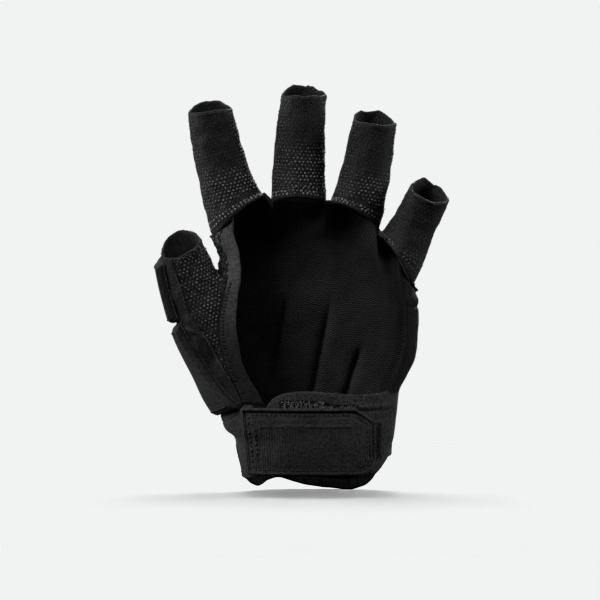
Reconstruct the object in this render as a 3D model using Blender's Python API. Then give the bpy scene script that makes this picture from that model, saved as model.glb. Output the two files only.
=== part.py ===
# Left-hand field hockey glove with an open palm, filled as if worn.
# X runs from the thumb side to the little-finger side, -Y is the palm side, +Z points to the fingertips.
# The origin is the middle of the wrist opening.

import math

import bpy
import numpy as np

# Driving sizes, in metres
HAND_WIDTH = 0.100
HAND_DEPTH = 0.030
PALM_LENGTH = 0.100
WRIST_WIDTH = 0.080
WRIST_DEPTH = 0.043
CUFF_HEIGHT = 0.040
BACK_WALL = 0.0028
SHELL_WALL = 0.0018
SLEEVE_WALL = 0.0014
CUFF_WALL = 0.0022
SEAM = 0.00035
THUMB_SEAM_GAP = 0.0009
FINGER_DEPTH = 0.0215
THUMB_DEPTH = 0.0220
FRONT_HEM_DEPTH = 0.0120
GROOVE_DEPTH = 0.0008
GROOVE_WIDTH = 0.0034
VALLEY_REACH = 0.020
INDEX_LENGTH = 0.0538
MIDDLE_LENGTH = 0.0528
RING_LENGTH = 0.0480
LITTLE_LENGTH = 0.0363
THUMB_PAD_THICKNESS = 0.0046
FINGER_PAD_THICKNESS = 0.0045
KNUCKLE_PAD_THICKNESS = 0.0055
PAD_LIFT = 0.0007
PAD_SLOPE = 0.09
PAD_RIM_SHARE = 0.55
STRAP_THICKNESS = 0.0024
STRAP_LENGTH = 0.0650
STRAP_WIDTH = 0.0305
STRAP_LEFT_END = -0.0361
STRAP_LOWER_EDGE = 0.0055
STRAP_SLANT = 0.0030
STRAP_CUT_LENGTH = 0.0095
STRAP_CUT_DROP = 0.0063
STRAP_CORNER = 0.0080
LOOP_PATCH_THICKNESS = 0.0007
LOOP_PATCH_LENGTH = 0.0385
LOOP_PATCH_WIDTH = 0.0300
LOOP_PATCH_SHOWS = 0.0050
LOOP_PATCH_INSET = 0.0030
HOOK_TAPE_THICKNESS = 0.0006
HOOK_TAPE_WIDTH = 0.0170
HOOK_TAPE_LENGTH = 0.0110
HOOK_TAPE_SHOWS = 0.0030

# Depth of the finger sleeves and of the thumb sleeve at both ends, as shares of FINGER_DEPTH and THUMB_DEPTH
FINGER_ROOT_SHARE = 1.06
FINGER_TIP_SHARE = 0.90
THUMB_ROOT_SHARE = 1.14
THUMB_TIP_SHARE = 0.84

# How near an end a form stays on a sleeve: a higher number keeps it nearer to that end
BASE_SECTION_HOLD = 4
BASE_TURN_HOLD = 4.5
BASE_WIDTH_HOLD = 6
BASE_SEAM_HOLD = 8
TIP_EDGE_HOLD = 8
TIP_ROUND = 1.25
THUMB_BASE_HOLD = 3
THUMB_TIP_HOLD = 12

# How square the hand and wrist sections are: 2 is an ellipse
ROUNDNESS = 2.5

# Wrist sections. Height as a share of CUFF_HEIGHT, sides as shares of WRIST_WIDTH,
# front and back as shares of WRIST_DEPTH.
CUFF_SECTIONS = [
    # height, left, right, front, back
    (-0.20, -0.444, 0.456, 0.488, 0.488),
    (0.00, -0.460, 0.462, 0.500, 0.488),
    (0.20, -0.472, 0.465, 0.512, 0.488),
    (0.38, -0.494, 0.472, 0.512, 0.477),
    (0.54, -0.512, 0.484, 0.512, 0.470),
    (0.63, -0.562, 0.491, 0.507, 0.465),
    (0.75, -0.588, 0.500, 0.500, 0.453),
    (0.95, -0.594, 0.512, 0.481, 0.435),
]

# Palm sections. Height above the cuff as a share of PALM_LENGTH, sides as shares of HAND_WIDTH,
# front and back as shares of HAND_DEPTH.
PALM_SECTIONS = [
    # height, left, right, front, back
    (0.05, -0.495, 0.418, 0.663, 0.600),
    (0.12, -0.520, 0.453, 0.633, 0.577),
    (0.19, -0.545, 0.489, 0.607, 0.557),
    (0.35, -0.575, 0.513, 0.560, 0.520),
    (0.50, -0.550, 0.508, 0.520, 0.500),
    (0.58, -0.515, 0.492, 0.503, 0.495),
    (0.64, -0.491, 0.490, 0.487, 0.490),
    (0.72, -0.484, 0.492, 0.470, 0.483),
    (0.81, -0.518, 0.495, 0.453, 0.477),
    (1.02, -0.540, 0.500, 0.427, 0.450),
]

# Sides of each finger's base: x as shares of HAND_WIDTH, height above the cuff as shares of PALM_LENGTH.
FINGER_BASES = {
    # finger: left x, left height, right x, right height
    "index": (-0.515, 0.810, -0.260, 1.025),
    "middle": (-0.225, 0.992, 0.050, 0.985),
    "ring": (0.073, 0.987, 0.315, 0.855),
    "little": (0.325, 0.840, 0.489, 0.580),
}

# Finger sleeves. Widths in metres, angles in degrees, the rest in metres along or across the finger.
FINGERS = {
    # finger: length, lean, root width, tip width, tip slope, arch, tip drop, tip rise, tip skew, curl, bow
    "index": (INDEX_LENGTH, -14.8, 0.0288, 0.0224, 6.5, 0.0030, 0.0002, 0.0052, 0.0, 0.0060, -0.0017),
    "middle": (MIDDLE_LENGTH, 2.7, 0.0276, 0.0225, 0.0, 0.0037, 0.0004, 0.0052, -0.2, 0.0045, -0.0007),
    "ring": (RING_LENGTH, 11.7, 0.0268, 0.0218, -6.6, 0.0040, 0.0022, 0.0049, -0.4, 0.0060, 0.0008),
    "little": (LITTLE_LENGTH, 25.9, 0.0242, 0.0206, -21.3, 0.0015, 0.0046, 0.0050, -0.4, 0.0070, 0.0000),
}

# Side outlines of the thumb sleeve from its tip to its base: x as shares of HAND_WIDTH,
# height above the cuff as shares of PALM_LENGTH.
THUMB_SIDES = [
    # share from the tip, inner x, inner height, outer x, outer height
    (0.00, -0.570, 0.805, -0.770, 0.723),
    (0.25, -0.543, 0.745, -0.727, 0.530),
    (0.50, -0.522, 0.695, -0.672, 0.335),
    (0.75, -0.505, 0.660, -0.569, 0.128),
    (0.88, -0.497, 0.647, -0.522, 0.025),
    (1.00, -0.491, 0.635, -0.466, -0.065),
]
THUMB_TIP_DROP = 0.0042
THUMB_TIP_RISE = 0.0077
THUMB_CURL = 0.0080
THUMB_TIP_SKEW = 0.05
THUMB_AXIS = np.array((-0.38, 0.0, 0.92))

# The seam round the thumb's hole, the same on the palm side and on the back.
THUMB_SEAM = [
    # height above the cuff as a share of PALM_LENGTH, x as a share of HAND_WIDTH
    (-0.065, -0.466),
    (-0.055, -0.425),
    (-0.020, -0.375),
    (0.033, -0.386),
    (0.120, -0.426),
    (0.195, -0.450),
    (0.280, -0.472),
    (0.395, -0.480),
    (0.480, -0.466),
    (0.570, -0.455),
    (0.605, -0.470),
    (0.635, -0.491),
]

# Edges of the open palm
PALM_LEFT_EDGE = [
    # height above the cuff as a share of PALM_LENGTH, x as a share of HAND_WIDTH
    (-0.030, -0.265),
    (0.030, -0.292),
    (0.105, -0.340),
    (0.180, -0.375),
    (0.275, -0.395),
    (0.372, -0.408),
    (0.520, -0.400),
    (0.603, -0.387),
    (0.680, -0.387),
    (0.755, -0.395),
    (0.815, -0.415),
    (0.900, -0.417),
]
PALM_RIGHT_EDGE = [
    (0.050, 0.368),
    (0.090, 0.395),
    (0.160, 0.425),
    (0.245, 0.445),
    (0.335, 0.457),
    (0.410, 0.457),
    (0.490, 0.450),
    (0.565, 0.442),
    (0.640, 0.425),
]

# Edges of the closure flap and the cuff: x as shares of WRIST_WIDTH, height as shares of CUFF_HEIGHT.
FLAP_TOP = [
    (-0.262, 0.84),
    (-0.247, 0.92),
    (-0.215, 1.01),
    (-0.165, 1.075),
    (-0.088, 1.112),
    (0.100, 1.100),
    (0.294, 1.075),
    (0.456, 1.116),
]
FLAP_BOTTOM = [
    (-0.262, 0.125),
    (0.000, 0.100),
    (0.288, 0.080),
    (0.375, 0.110),
    (0.425, 0.210),
    (0.470, 0.330),
]
FLAP_LEFT_END = -0.262
CUFF_FRONT_END = -0.331
CUFF_TURN = [
    # share of the way from the front end round the thumb side and the back to the little-finger side,
    # upper edge, lower edge
    (0.00, 0.930, 0.120),
    (0.05, 0.920, 0.090),
    (0.12, 0.830, 0.070),
    (0.18, 0.800, 0.060),
    (0.26, 0.790, 0.060),
    (0.34, 0.800, 0.000),
    (0.40, 0.830, -0.060),
    (0.44, 0.880, -0.088),
    (0.48, 0.930, -0.062),
    (0.52, 0.945, -0.012),
    (0.57, 0.945, 0.012),
    (0.64, 0.945, -0.055),
    (0.69, 0.945, -0.105),
    (0.75, 0.945, -0.130),
    (0.80, 0.945, -0.152),
    (0.84, 0.945, -0.125),
    (0.91, 0.945, -0.030),
    (0.955, 0.945, 0.110),
    (1.00, 0.945, 0.320),
]

# Sewn grooves of the back panel, as seen through the open palm.
GROOVES = [
    # lower x, lower height, upper x, upper height: shares of HAND_WIDTH and PALM_LENGTH
    (-0.212, 0.14, -0.145, 0.55),
    (-0.005, 0.06, 0.085, 0.51),
    (0.175, 0.04, 0.250, 0.28),
]
# Where along a groove it deepens at its foot and fades out at its top
GROOVE_FOOT = (-0.3, -0.1)
GROOVE_TOP = (0.6, 1.1)

# Foam pads on the hidden back of the hand, one for each finger.
KNUCKLE_PADS = {
    # finger: lower left x, lower right x, upper left x, upper right x, lower height, upper height
    "index": (-0.345, -0.235, -0.405, -0.215, 0.22, 0.72),
    "middle": (-0.165, -0.055, -0.165, -0.005, 0.18, 0.80),
    "ring": (0.035, 0.125, 0.080, 0.220, 0.16, 0.72),
    "little": (0.215, 0.320, 0.285, 0.390, 0.16, 0.48),
}
# Where the side seam runs, as an angle of the hand section
SIDE_SEAM_ANGLE = math.radians(27)
# Height of the little finger's side above the cuff, as a share of PALM_LENGTH
SIDE_SEAM_TOP = 0.62
# How far the hand panels reach down behind the cuff's upper edge, as a share of PALM_LENGTH
PANEL_FOOT = -0.02

# Rows of points: turns round a sleeve, shares along it, and shares up the back panel
SLEEVE_TURNS = 20
SLEEVE_RINGS = [0.0, 0.08, 0.20, 0.36, 0.55, 0.75, 0.90, 1.0]
THUMB_TURNS = 24
THUMB_RINGS = [0.0, 0.06, 0.16, 0.30, 0.44, 0.58, 0.72, 0.85, 0.94, 1.0]
BACK_ROWS = [0.0, 0.05, 0.12, 0.20, 0.28, 0.36, 0.44, 0.52, 0.60, 0.68, 0.76, 0.82, 0.88, 0.94, 1.0]

# Where the pads lie: turns in degrees from the inner side over the back, and shares along the sleeve
FINGER_PAD_TURNS = (48, 132)
FINGER_PADS = [(0.16, 0.50), (0.56, 0.88)]
THUMB_PADS = {
    # pad: turns, shares from the tip, spans
    "upper": ((112, 203), (0.035, 0.430), 5),
    "lower": ((116, 207), (0.445, 0.995), 7),
}

BLACK_KNIT = (0.010, 0.010, 0.011)
GRIP_FABRIC = (0.018, 0.018, 0.019)
SMOOTH_STRETCH = (0.028, 0.028, 0.029)
FOAM_COVER = (0.013, 0.013, 0.014)
STRAP_COVER = (0.017, 0.017, 0.018)
LOOP_PILE = (0.022, 0.022, 0.023)


def remove_scene_objects():
    for thing in list(bpy.data.objects):
        bpy.data.objects.remove(thing, do_unlink=True)


def fabric(name, colour, roughness):
    material = bpy.data.materials.new(name)
    material.use_nodes = True
    shader = material.node_tree.nodes["Principled BSDF"]
    shader.inputs["Base Color"].default_value = (*colour, 1.0)
    shader.inputs["Roughness"].default_value = roughness
    shader.inputs["Metallic"].default_value = 0.0
    return material


def smooth_curve(stations, values):
    """A smooth function through the given values, held at its ends."""
    stations = np.asarray(stations, float)
    values = np.asarray(values, float)
    slopes = np.gradient(values, stations)

    def read(at):
        at = np.clip(at, stations[0], stations[-1])
        k = np.clip(np.searchsorted(stations, at) - 1, 0, len(stations) - 2)
        span = stations[k + 1] - stations[k]
        t = (at - stations[k]) / span
        start = (1 + 2 * t) * (1 - t) ** 2 * values[k] + t * (1 - t) ** 2 * span * slopes[k]
        end = t * t * (3 - 2 * t) * values[k + 1] - t * t * (1 - t) * span * slopes[k + 1]
        return float(start + end)

    return read


def palm_height(share):
    return CUFF_HEIGHT + share * PALM_LENGTH


def ease(share):
    share = min(max(share, 0.0), 1.0)
    return share * share * (3 - 2 * share)


def ease_between(value, ends):
    return ease((value - ends[0]) / (ends[1] - ends[0]))


def section_curves():
    """Left, right, front and back of the hand as functions of height."""
    rows = []
    for height, left, right, front, back in CUFF_SECTIONS:
        sides = (left * WRIST_WIDTH, right * WRIST_WIDTH)
        rows.append((height * CUFF_HEIGHT, *sides, front * WRIST_DEPTH, back * WRIST_DEPTH))
    for height, left, right, front, back in PALM_SECTIONS:
        sides = (left * HAND_WIDTH, right * HAND_WIDTH)
        rows.append((palm_height(height), *sides, front * HAND_DEPTH, back * HAND_DEPTH))
    columns = list(zip(*rows))
    return [smooth_curve(columns[0], column) for column in columns[1:]]


LEFT_OF, RIGHT_OF, FRONT_OF, BACK_OF = section_curves()


def hand_point(angle, z, inset):
    """A point of the hand's section: angle 0 is the little-finger side, 90 degrees the back, -90 the palm."""
    left = LEFT_OF(z)
    right = RIGHT_OF(z)
    depth = (BACK_OF(z) if math.sin(angle) >= 0 else FRONT_OF(z)) - inset
    half = (right - left) / 2 - inset
    power = 2 / ROUNDNESS
    x = (left + right) / 2 + half * math.copysign(abs(math.cos(angle)) ** power, math.cos(angle))
    y = depth * math.copysign(abs(math.sin(angle)) ** power, math.sin(angle))
    return np.array((x, y, z))


def angle_at(x, z, side, inset=0.0):
    """The section angle at x on the back (side 1) or the palm (side -1), kept half a seam off the sides."""
    left = LEFT_OF(z) + inset
    right = RIGHT_OF(z) - inset
    depth = (BACK_OF(z) if side > 0 else FRONT_OF(z)) - inset
    share = min(max((2 * x - left - right) / (right - left), -1.0), 1.0)
    angle = math.acos(math.copysign(abs(share) ** (ROUNDNESS / 2), share))
    least = math.asin((SEAM / 2 / depth) ** (ROUNDNESS / 2))
    return side * min(max(angle, least), math.pi - least)


def seam_angle():
    return SEAM / (HAND_DEPTH / 2)


def side_seam_x(z, angle):
    return hand_point(angle, z, 0.0)[0]


def finger_base(finger):
    left_x, left_height, right_x, right_height = FINGER_BASES[finger]
    left = np.array((left_x * HAND_WIDTH, palm_height(left_height)))
    right = np.array((right_x * HAND_WIDTH, palm_height(right_height)))
    return left, right


def knuckle_line(x):
    """Height of the seam between the hand and the finger sleeves."""
    ends = [end for finger in FINGER_BASES for end in finger_base(finger)]
    return float(np.interp(x, [end[0] for end in ends], [end[1] for end in ends]))


def finger_hump(x):
    """1 behind the middle of a finger and 0 at and between its sides."""
    for finger in FINGER_BASES:
        left, right = finger_base(finger)
        if left[0] < x < right[0]:
            return math.cos(math.pi / 2 * (2 * x - left[0] - right[0]) / (right[0] - left[0]))
    return 0.0


def groove_share(x, z):
    """1 on a sewn groove, fading to 0 beside it and above its upper end."""
    share = 0.0
    for lower_x, lower_height, upper_x, upper_height in GROOVES:
        low = palm_height(lower_height)
        high = palm_height(upper_height)
        along = (z - low) / (high - low)
        line = (lower_x + (upper_x - lower_x) * along) * HAND_WIDTH
        strength = ease_between(along, GROOVE_FOOT) * (1 - ease_between(along, GROOVE_TOP))
        share += math.exp(-(((x - line) / GROOVE_WIDTH) ** 2)) * strength
    return min(share, 1.0)


def back_at_angle(angle, z, inset):
    """The back of the hand, which runs in between the fingers at its upper edge."""
    outside = hand_point(angle, z, 0.0)
    inside = hand_point(angle, z, inset)
    x = outside[0]
    nearness = ease(1 - (knuckle_line(x) - z) / VALLEY_REACH)
    y = outside[1] * (1 - nearness * (1 - finger_hump(x))) + inside[1] - outside[1]
    sink = GROOVE_DEPTH * groove_share(x, z)
    return np.array((inside[0], y + (sink if inset else -sink), z))


def back_point(x, z, inset):
    return back_at_angle(angle_at(x, z, 1), z, inset)


def finger_point(finger, angle, share, inset):
    """A point of a finger sleeve: angle as on the hand, share 0 at the base and 1 at the tip."""
    length, lean, root, tip, slope, arch, drop, rise, skew, curl, bow = FINGERS[finger]
    left, right = finger_base(finger)
    reach = right - left
    base_half = math.hypot(*reach) / 2
    base_slope = math.degrees(math.atan2(reach[1], reach[0]))
    lean = math.radians(lean)
    axis = np.array((math.sin(lean), math.cos(lean)))
    across = np.array((math.cos(lean), -math.sin(lean)))
    middle = (left + right) / 2 + axis * length * share + across * bow * math.sin(math.pi * share)
    away = 1 - share
    turn = math.radians(slope + (base_slope - slope) * away**BASE_TURN_HOLD)
    side = np.array((math.cos(turn), math.sin(turn)))
    half = tip / 2 + (root - tip) / 2 * away + (base_half - root / 2) * away**BASE_WIDTH_HOLD - inset
    spot = middle + side * half * math.cos(angle)
    seam_normal = np.array((-math.sin(turn), math.cos(turn)))
    spot = spot + seam_normal * SEAM * away**BASE_SEAM_HOLD
    depth = FINGER_DEPTH / 2 * (FINGER_TIP_SHARE + (FINGER_ROOT_SHARE - FINGER_TIP_SHARE) * away) - inset
    round_y = depth * math.sin(angle)
    if math.sin(angle) >= 0:
        base_y = back_point(min(max(spot[0], left[0]), right[0]), knuckle_line(spot[0]), 0.0)[1]
        base_y = max(base_y - inset * math.sin(angle), 0.0)
        skewed = rise * (1 + skew * math.cos(angle))
        spot = spot + axis * skewed * math.sin(angle) ** TIP_ROUND * share**TIP_EDGE_HOLD
    else:
        base_y = (FRONT_HEM_DEPTH - inset) * math.sin(angle)
        spot = spot + axis * arch * (-math.sin(angle)) ** 1.2 * away**BASE_WIDTH_HOLD
        spot = spot + axis * drop * math.sin(angle) * share**TIP_EDGE_HOLD
    hold = away**BASE_SECTION_HOLD
    y = round_y * (1 - hold) + base_y * hold - curl * share**2
    return np.array((spot[0], y, spot[1]))


def edge_curve(table):
    return smooth_curve([palm_height(row[0]) for row in table], [row[1] * HAND_WIDTH for row in table])


def thumb_sides():
    columns = list(zip(*THUMB_SIDES))
    inner_x, outer_x = (smooth_curve(columns[0], np.array(columns[k]) * HAND_WIDTH) for k in (1, 3))
    inner_z, outer_z = (smooth_curve(columns[0], [palm_height(h) for h in columns[k]]) for k in (2, 4))
    return inner_x, inner_z, outer_x, outer_z


INNER_X, INNER_Z, OUTER_X, OUTER_Z = thumb_sides()
SEAM_X = edge_curve(THUMB_SEAM)
CROTCH = palm_height(THUMB_SEAM[-1][0])
HOLE_FOOT = palm_height(THUMB_SEAM[0][0])


def thumb_seam_point(angle, inset):
    """The thumb sleeve's base, which stands one seam inside the hole in the hand."""
    middle = (CROTCH + HOLE_FOOT) / 2
    z = middle + ((CROTCH - HOLE_FOOT) / 2 - THUMB_SEAM_GAP) * math.cos(angle)
    side = 1 if math.sin(angle) >= 0 else -1
    on_hand = angle_at(SEAM_X(z) - THUMB_SEAM_GAP, z, side)
    return hand_point(on_hand, z, inset)


def thumb_point(angle, share, inset):
    """A point of the thumb sleeve: share 0 at the tip and 1 at the base."""

    def ring(at):
        inner = np.array((INNER_X(at), INNER_Z(at)))
        outer = np.array((OUTER_X(at), OUTER_Z(at)))
        reach = inner - outer
        half = math.hypot(*reach) / 2
        spot = (inner + outer) / 2 + reach / (2 * half) * (half - inset) * math.cos(angle)
        depth = THUMB_DEPTH / 2 * (THUMB_TIP_SHARE + (THUMB_ROOT_SHARE - THUMB_TIP_SHARE) * at) - inset
        bend = -THUMB_CURL * (1 - at) ** 1.5
        return np.array((spot[0], bend + depth * math.sin(angle), spot[1]))

    if math.sin(angle) >= 0:
        move = THUMB_TIP_RISE * math.sin(angle) ** TIP_ROUND * (1 + THUMB_TIP_SKEW * math.cos(angle))
    else:
        move = THUMB_TIP_DROP * math.sin(angle)
    point = ring(share) + THUMB_AXIS * move * (1 - share) ** THUMB_TIP_HOLD
    return point + (thumb_seam_point(angle, inset) - ring(1.0)) * share**THUMB_BASE_HOLD


def solid(name, outer, inner, closed, material):
    """A wall between two grids of points. A closed grid runs round a tube."""
    rows, columns = outer.shape[:2]
    points = np.concatenate([outer.reshape(-1, 3), inner.reshape(-1, 3)])
    shift = rows * columns
    faces = []
    spans = columns if closed else columns - 1
    for row in range(rows - 1):
        for column in range(spans):
            after = (column + 1) % columns
            low = row * columns
            quad = [low + column, low + after, low + columns + after, low + columns + column]
            faces.append(quad)
            faces.append([shift + corner for corner in reversed(quad)])
    for column in range(spans):
        after = (column + 1) % columns
        faces.append([column, shift + column, shift + after, after])
        top = (rows - 1) * columns
        faces.append([top + column, top + after, shift + top + after, shift + top + column])
    if not closed:
        for row in range(rows - 1):
            low = row * columns
            high = low + columns
            faces.append([low, high, shift + high, shift + low])
            last = columns - 1
            faces.append([low + last, shift + low + last, shift + high + last, high + last])
    if turned_inward(points, faces):
        faces = [face[::-1] for face in faces]
    mesh = bpy.data.meshes.new(name)
    mesh.from_pydata([tuple(map(float, point)) for point in points], [], faces)
    mesh.materials.append(material)
    mesh.shade_smooth()
    mesh.set_sharp_from_angle(angle=math.radians(50))
    piece = bpy.data.objects.new(name, mesh)
    bpy.context.scene.collection.objects.link(piece)
    return piece


def turned_inward(points, faces):
    volume = 0.0
    for face in faces:
        for k in range(1, len(face) - 1):
            volume += float(np.dot(points[face[0]], np.cross(points[face[k]], points[face[k + 1]])))
    return volume < 0


def grid(rows, columns, place):
    return np.array([[place(row, column) for column in columns] for row in rows])


def steps(count, low=0.0, high=1.0):
    return [low + (high - low) * k / count for k in range(count + 1)]


def normal_of(surface, u, v):
    """The outward normal of surface(u, v), where u turns round the piece and v runs along it."""
    step = 0.01
    along_u = surface(u + step, v) - surface(u - step, v)
    along_v = surface(u, min(v + step, 1.0)) - surface(u, max(v - step, 0.0))
    normal = np.cross(along_u, along_v)
    return normal / np.linalg.norm(normal)


def pad_on(name, surface, across, along, thickness, outward, material, spans=3):
    """A foam pad with sloping sides on a surface. across and along are pairs of surface values."""
    edges = [0.0, *steps(spans, PAD_SLOPE, 1 - PAD_SLOPE), 1.0]
    last = len(edges) - 1

    def place(row, column, top):
        u = across[0] + (across[1] - across[0]) * edges[column]
        v = along[0] + (along[1] - along[0]) * edges[row]
        rise = PAD_LIFT
        if top:
            on_rim = row in (0, last) or column in (0, last)
            rise += thickness * (PAD_RIM_SHARE if on_rim else 1.0)
        return surface(u, v) + outward * normal_of(surface, u, v) * rise

    indices = range(len(edges))
    outer = grid(indices, indices, lambda row, column: place(row, column, True))
    inner = grid(indices, indices, lambda row, column: place(row, column, False))
    return solid(name, outer, inner, False, material)


def make_finger_sleeve(finger, material):
    turns = [2 * math.pi * k / SLEEVE_TURNS for k in range(SLEEVE_TURNS)]
    outer = grid(SLEEVE_RINGS, turns, lambda share, angle: finger_point(finger, angle, share, 0.0))
    inner = grid(SLEEVE_RINGS, turns, lambda share, angle: finger_point(finger, angle, share, SLEEVE_WALL))
    return solid(finger + "_sleeve", outer, inner, True, material)


def make_finger_pads(finger, material):
    def surface(angle, share):
        return finger_point(finger, angle, share, 0.0)

    side = [math.radians(turn) for turn in FINGER_PAD_TURNS]
    for number, along in enumerate(FINGER_PADS, 1):
        name = f"{finger}_back_pad_{number}"
        pad_on(name, surface, side, along, FINGER_PAD_THICKNESS, 1, material)


def make_thumb_sleeve(material):
    turns = [2 * math.pi * k / THUMB_TURNS for k in range(THUMB_TURNS)]
    outer = grid(THUMB_RINGS, turns, lambda share, angle: thumb_point(angle, share, 0.0))
    inner = grid(THUMB_RINGS, turns, lambda share, angle: thumb_point(angle, share, SLEEVE_WALL))
    return solid("thumb_sleeve", outer, inner, True, material)


def make_thumb_pads(material):
    def surface(angle, share):
        return thumb_point(angle, share, 0.0)

    for pad, (turns, shares, spans) in THUMB_PADS.items():
        side = [math.radians(turn) for turn in turns]
        pad_on("thumb_pad_" + pad, surface, side, shares, THUMB_PAD_THICKNESS, -1, material, spans)


def make_back_panel(material):
    columns_x = []
    for finger in FINGER_BASES:
        left, right = finger_base(finger)
        columns_x += steps(5, left[0], right[0])
    columns_x[-1] = side_seam_x(palm_height(SIDE_SEAM_TOP), SIDE_SEAM_ANGLE)
    lowest = palm_height(PANEL_FOOT)
    low_left = SEAM_X(lowest)
    low_right = side_seam_x(lowest, SIDE_SEAM_ANGLE)

    def place(row, column, inset):
        top_x = columns_x[column]
        across = (top_x - columns_x[0]) / (columns_x[-1] - columns_x[0])
        z = lowest + (knuckle_line(top_x) - lowest) * row
        left_z = lowest + (knuckle_line(columns_x[0]) - lowest) * row
        right_z = lowest + (knuckle_line(columns_x[-1]) - lowest) * row
        left_x = SEAM_X(left_z) if left_z < CROTCH else LEFT_OF(left_z)
        right_x = side_seam_x(right_z, SIDE_SEAM_ANGLE)
        low_x = low_left + (low_right - low_left) * across
        straight = low_x + (top_x - low_x) * row
        left_off = left_x - (low_left + (columns_x[0] - low_left) * row)
        right_off = right_x - (low_right + (columns_x[-1] - low_right) * row)
        x = straight + left_off * (1 - across) + right_off * across
        return back_point(x, z, inset)

    indices = range(len(columns_x))
    outer = grid(BACK_ROWS, indices, lambda row, column: place(row, column, 0.0))
    inner = grid(BACK_ROWS, indices, lambda row, column: place(row, column, BACK_WALL))
    return solid("back_panel", outer, inner, False, material)


def make_thumb_side_strip(material):
    right_edge = edge_curve(PALM_LEFT_EDGE)
    lowest = palm_height(PANEL_FOOT)
    left_top = knuckle_line(FINGER_BASES["index"][0] * HAND_WIDTH) - SEAM
    corner_x = PALM_LEFT_EDGE[-1][1] * HAND_WIDTH

    def place(row, column, inset):
        left_z = lowest + (left_top - lowest) * row
        right_z = lowest + (knuckle_line(corner_x) - SEAM - lowest) * row
        seam_x = SEAM_X(left_z) if left_z < CROTCH else LEFT_OF(left_z)
        start = angle_at(seam_x, left_z, -1)
        end = angle_at(right_edge(right_z), right_z, -1)
        angle = start + (end - start) * column
        x = hand_point(angle, left_z, 0.0)[0]
        z = lowest + (knuckle_line(x) - SEAM - lowest) * row
        return hand_point(angle, z, inset)

    rows = steps(16)
    columns = steps(5)
    outer = grid(rows, columns, lambda row, column: place(row, column, 0.0))
    inner = grid(rows, columns, lambda row, column: place(row, column, SHELL_WALL))
    return solid("thumb_side_strip", outer, inner, False, material)


def make_ulnar_side_panel(material):
    front_edge = edge_curve(PALM_RIGHT_EDGE)
    lowest = palm_height(PALM_RIGHT_EDGE[0][0]) + SEAM

    def place(row, column, inset):
        start = SIDE_SEAM_ANGLE - seam_angle()
        back_top = knuckle_line(side_seam_x(palm_height(SIDE_SEAM_TOP), start)) - SEAM
        back_z = lowest + (back_top - lowest) * row
        front_top = knuckle_line(PALM_RIGHT_EDGE[-1][1] * HAND_WIDTH) - SEAM
        front_z = lowest + (front_top - lowest) * row
        end = angle_at(front_edge(front_z), front_z, -1)
        angle = start + (end - start) * column
        x = hand_point(angle, back_z, 0.0)[0]
        z = lowest + (min(knuckle_line(x) - SEAM, front_top) - lowest) * row
        return back_at_angle(angle, z, inset) if angle > 0 else hand_point(angle, z, inset)

    rows = steps(11)
    columns = steps(6)
    outer = grid(rows, columns, lambda row, column: place(row, column, 0.0))
    inner = grid(rows, columns, lambda row, column: place(row, column, SHELL_WALL))
    return solid("ulnar_side_panel", outer, inner, False, material)


def wrist_band(turns, edges, rows, inset_outer, inset_inner):
    """Outer and inner grids of a band round the wrist, between the lower and upper height at each turn."""

    def place(row, number, inset):
        low, high = edges[number]
        return hand_point(turns[number], low + (high - low) * row, inset)

    numbers = range(len(turns))
    outer = grid(rows, numbers, lambda row, number: place(row, number, inset_outer))
    inner = grid(rows, numbers, lambda row, number: place(row, number, inset_inner))
    return outer, inner


def make_cuff(material):
    middle_z = CUFF_HEIGHT / 2
    start = angle_at(CUFF_FRONT_END * WRIST_WIDTH, middle_z, -1)
    end = SIDE_SEAM_ANGLE - 2 * math.pi
    shares = steps(30)
    columns = list(zip(*CUFF_TURN))
    upper = smooth_curve(columns[0], np.array(columns[1]) * CUFF_HEIGHT)
    lower = smooth_curve(columns[0], np.array(columns[2]) * CUFF_HEIGHT)
    turns = [start + (end - start) * share for share in shares]
    edges = [(lower(share), upper(share) - SEAM) for share in shares]
    outer, inner = wrist_band(turns, edges, steps(7), 0.0, CUFF_WALL)
    return solid("cuff", outer, inner, False, material)


def make_closure_flap(material):
    middle_z = CUFF_HEIGHT / 2
    start = angle_at(FLAP_LEFT_END * WRIST_WIDTH, middle_z, -1)
    end = SIDE_SEAM_ANGLE - seam_angle()
    tops = list(zip(*FLAP_TOP))
    bottoms = list(zip(*FLAP_BOTTOM))
    upper = smooth_curve(np.array(tops[0]) * WRIST_WIDTH, np.array(tops[1]) * CUFF_HEIGHT)
    lower = smooth_curve(np.array(bottoms[0]) * WRIST_WIDTH, np.array(bottoms[1]) * CUFF_HEIGHT)
    turns = [start + (end - start) * share for share in steps(20)]
    across = [hand_point(turn, middle_z, 0.0)[0] for turn in turns]
    edges = [(lower(x), upper(x)) for x in across]
    outer, inner = wrist_band(turns, edges, steps(6), 0.0, SHELL_WALL)
    return solid("closure_flap", outer, inner, False, material)


def front_sheet(name, sides, bottom, top, distances, count, material):
    """A flat piece on the wrist's palm side.

    sides gives its left and right ends as functions of the share of its height, bottom and top its
    edges as functions of x, and distances how far its inner and outer faces stand off the wrist.
    """

    def place(row, across, off):
        left, right = (side(row) for side in sides)
        x = left + (right - left) * across
        z = bottom(x) + (top(x) - bottom(x)) * row
        return hand_point(angle_at(x, z, -1, -off), z, -off)

    low, high = distances
    inner = grid(steps(6), steps(count), lambda row, across: place(row, across, low))
    outer = grid(steps(6), steps(count), lambda row, across: place(row, across, high))
    return solid(name, outer, inner, False, material)


def make_loop_patch(material):
    left = FLAP_LEFT_END * WRIST_WIDTH + LOOP_PATCH_INSET
    top = STRAP_LOWER_EDGE + STRAP_WIDTH + LOOP_PATCH_SHOWS
    sides = (lambda row: left, lambda row: left + LOOP_PATCH_LENGTH)
    distances = (SEAM, SEAM + LOOP_PATCH_THICKNESS)
    front_sheet("loop_patch", sides, lambda x: top - LOOP_PATCH_WIDTH, lambda x: top, distances, 12, material)


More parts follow.
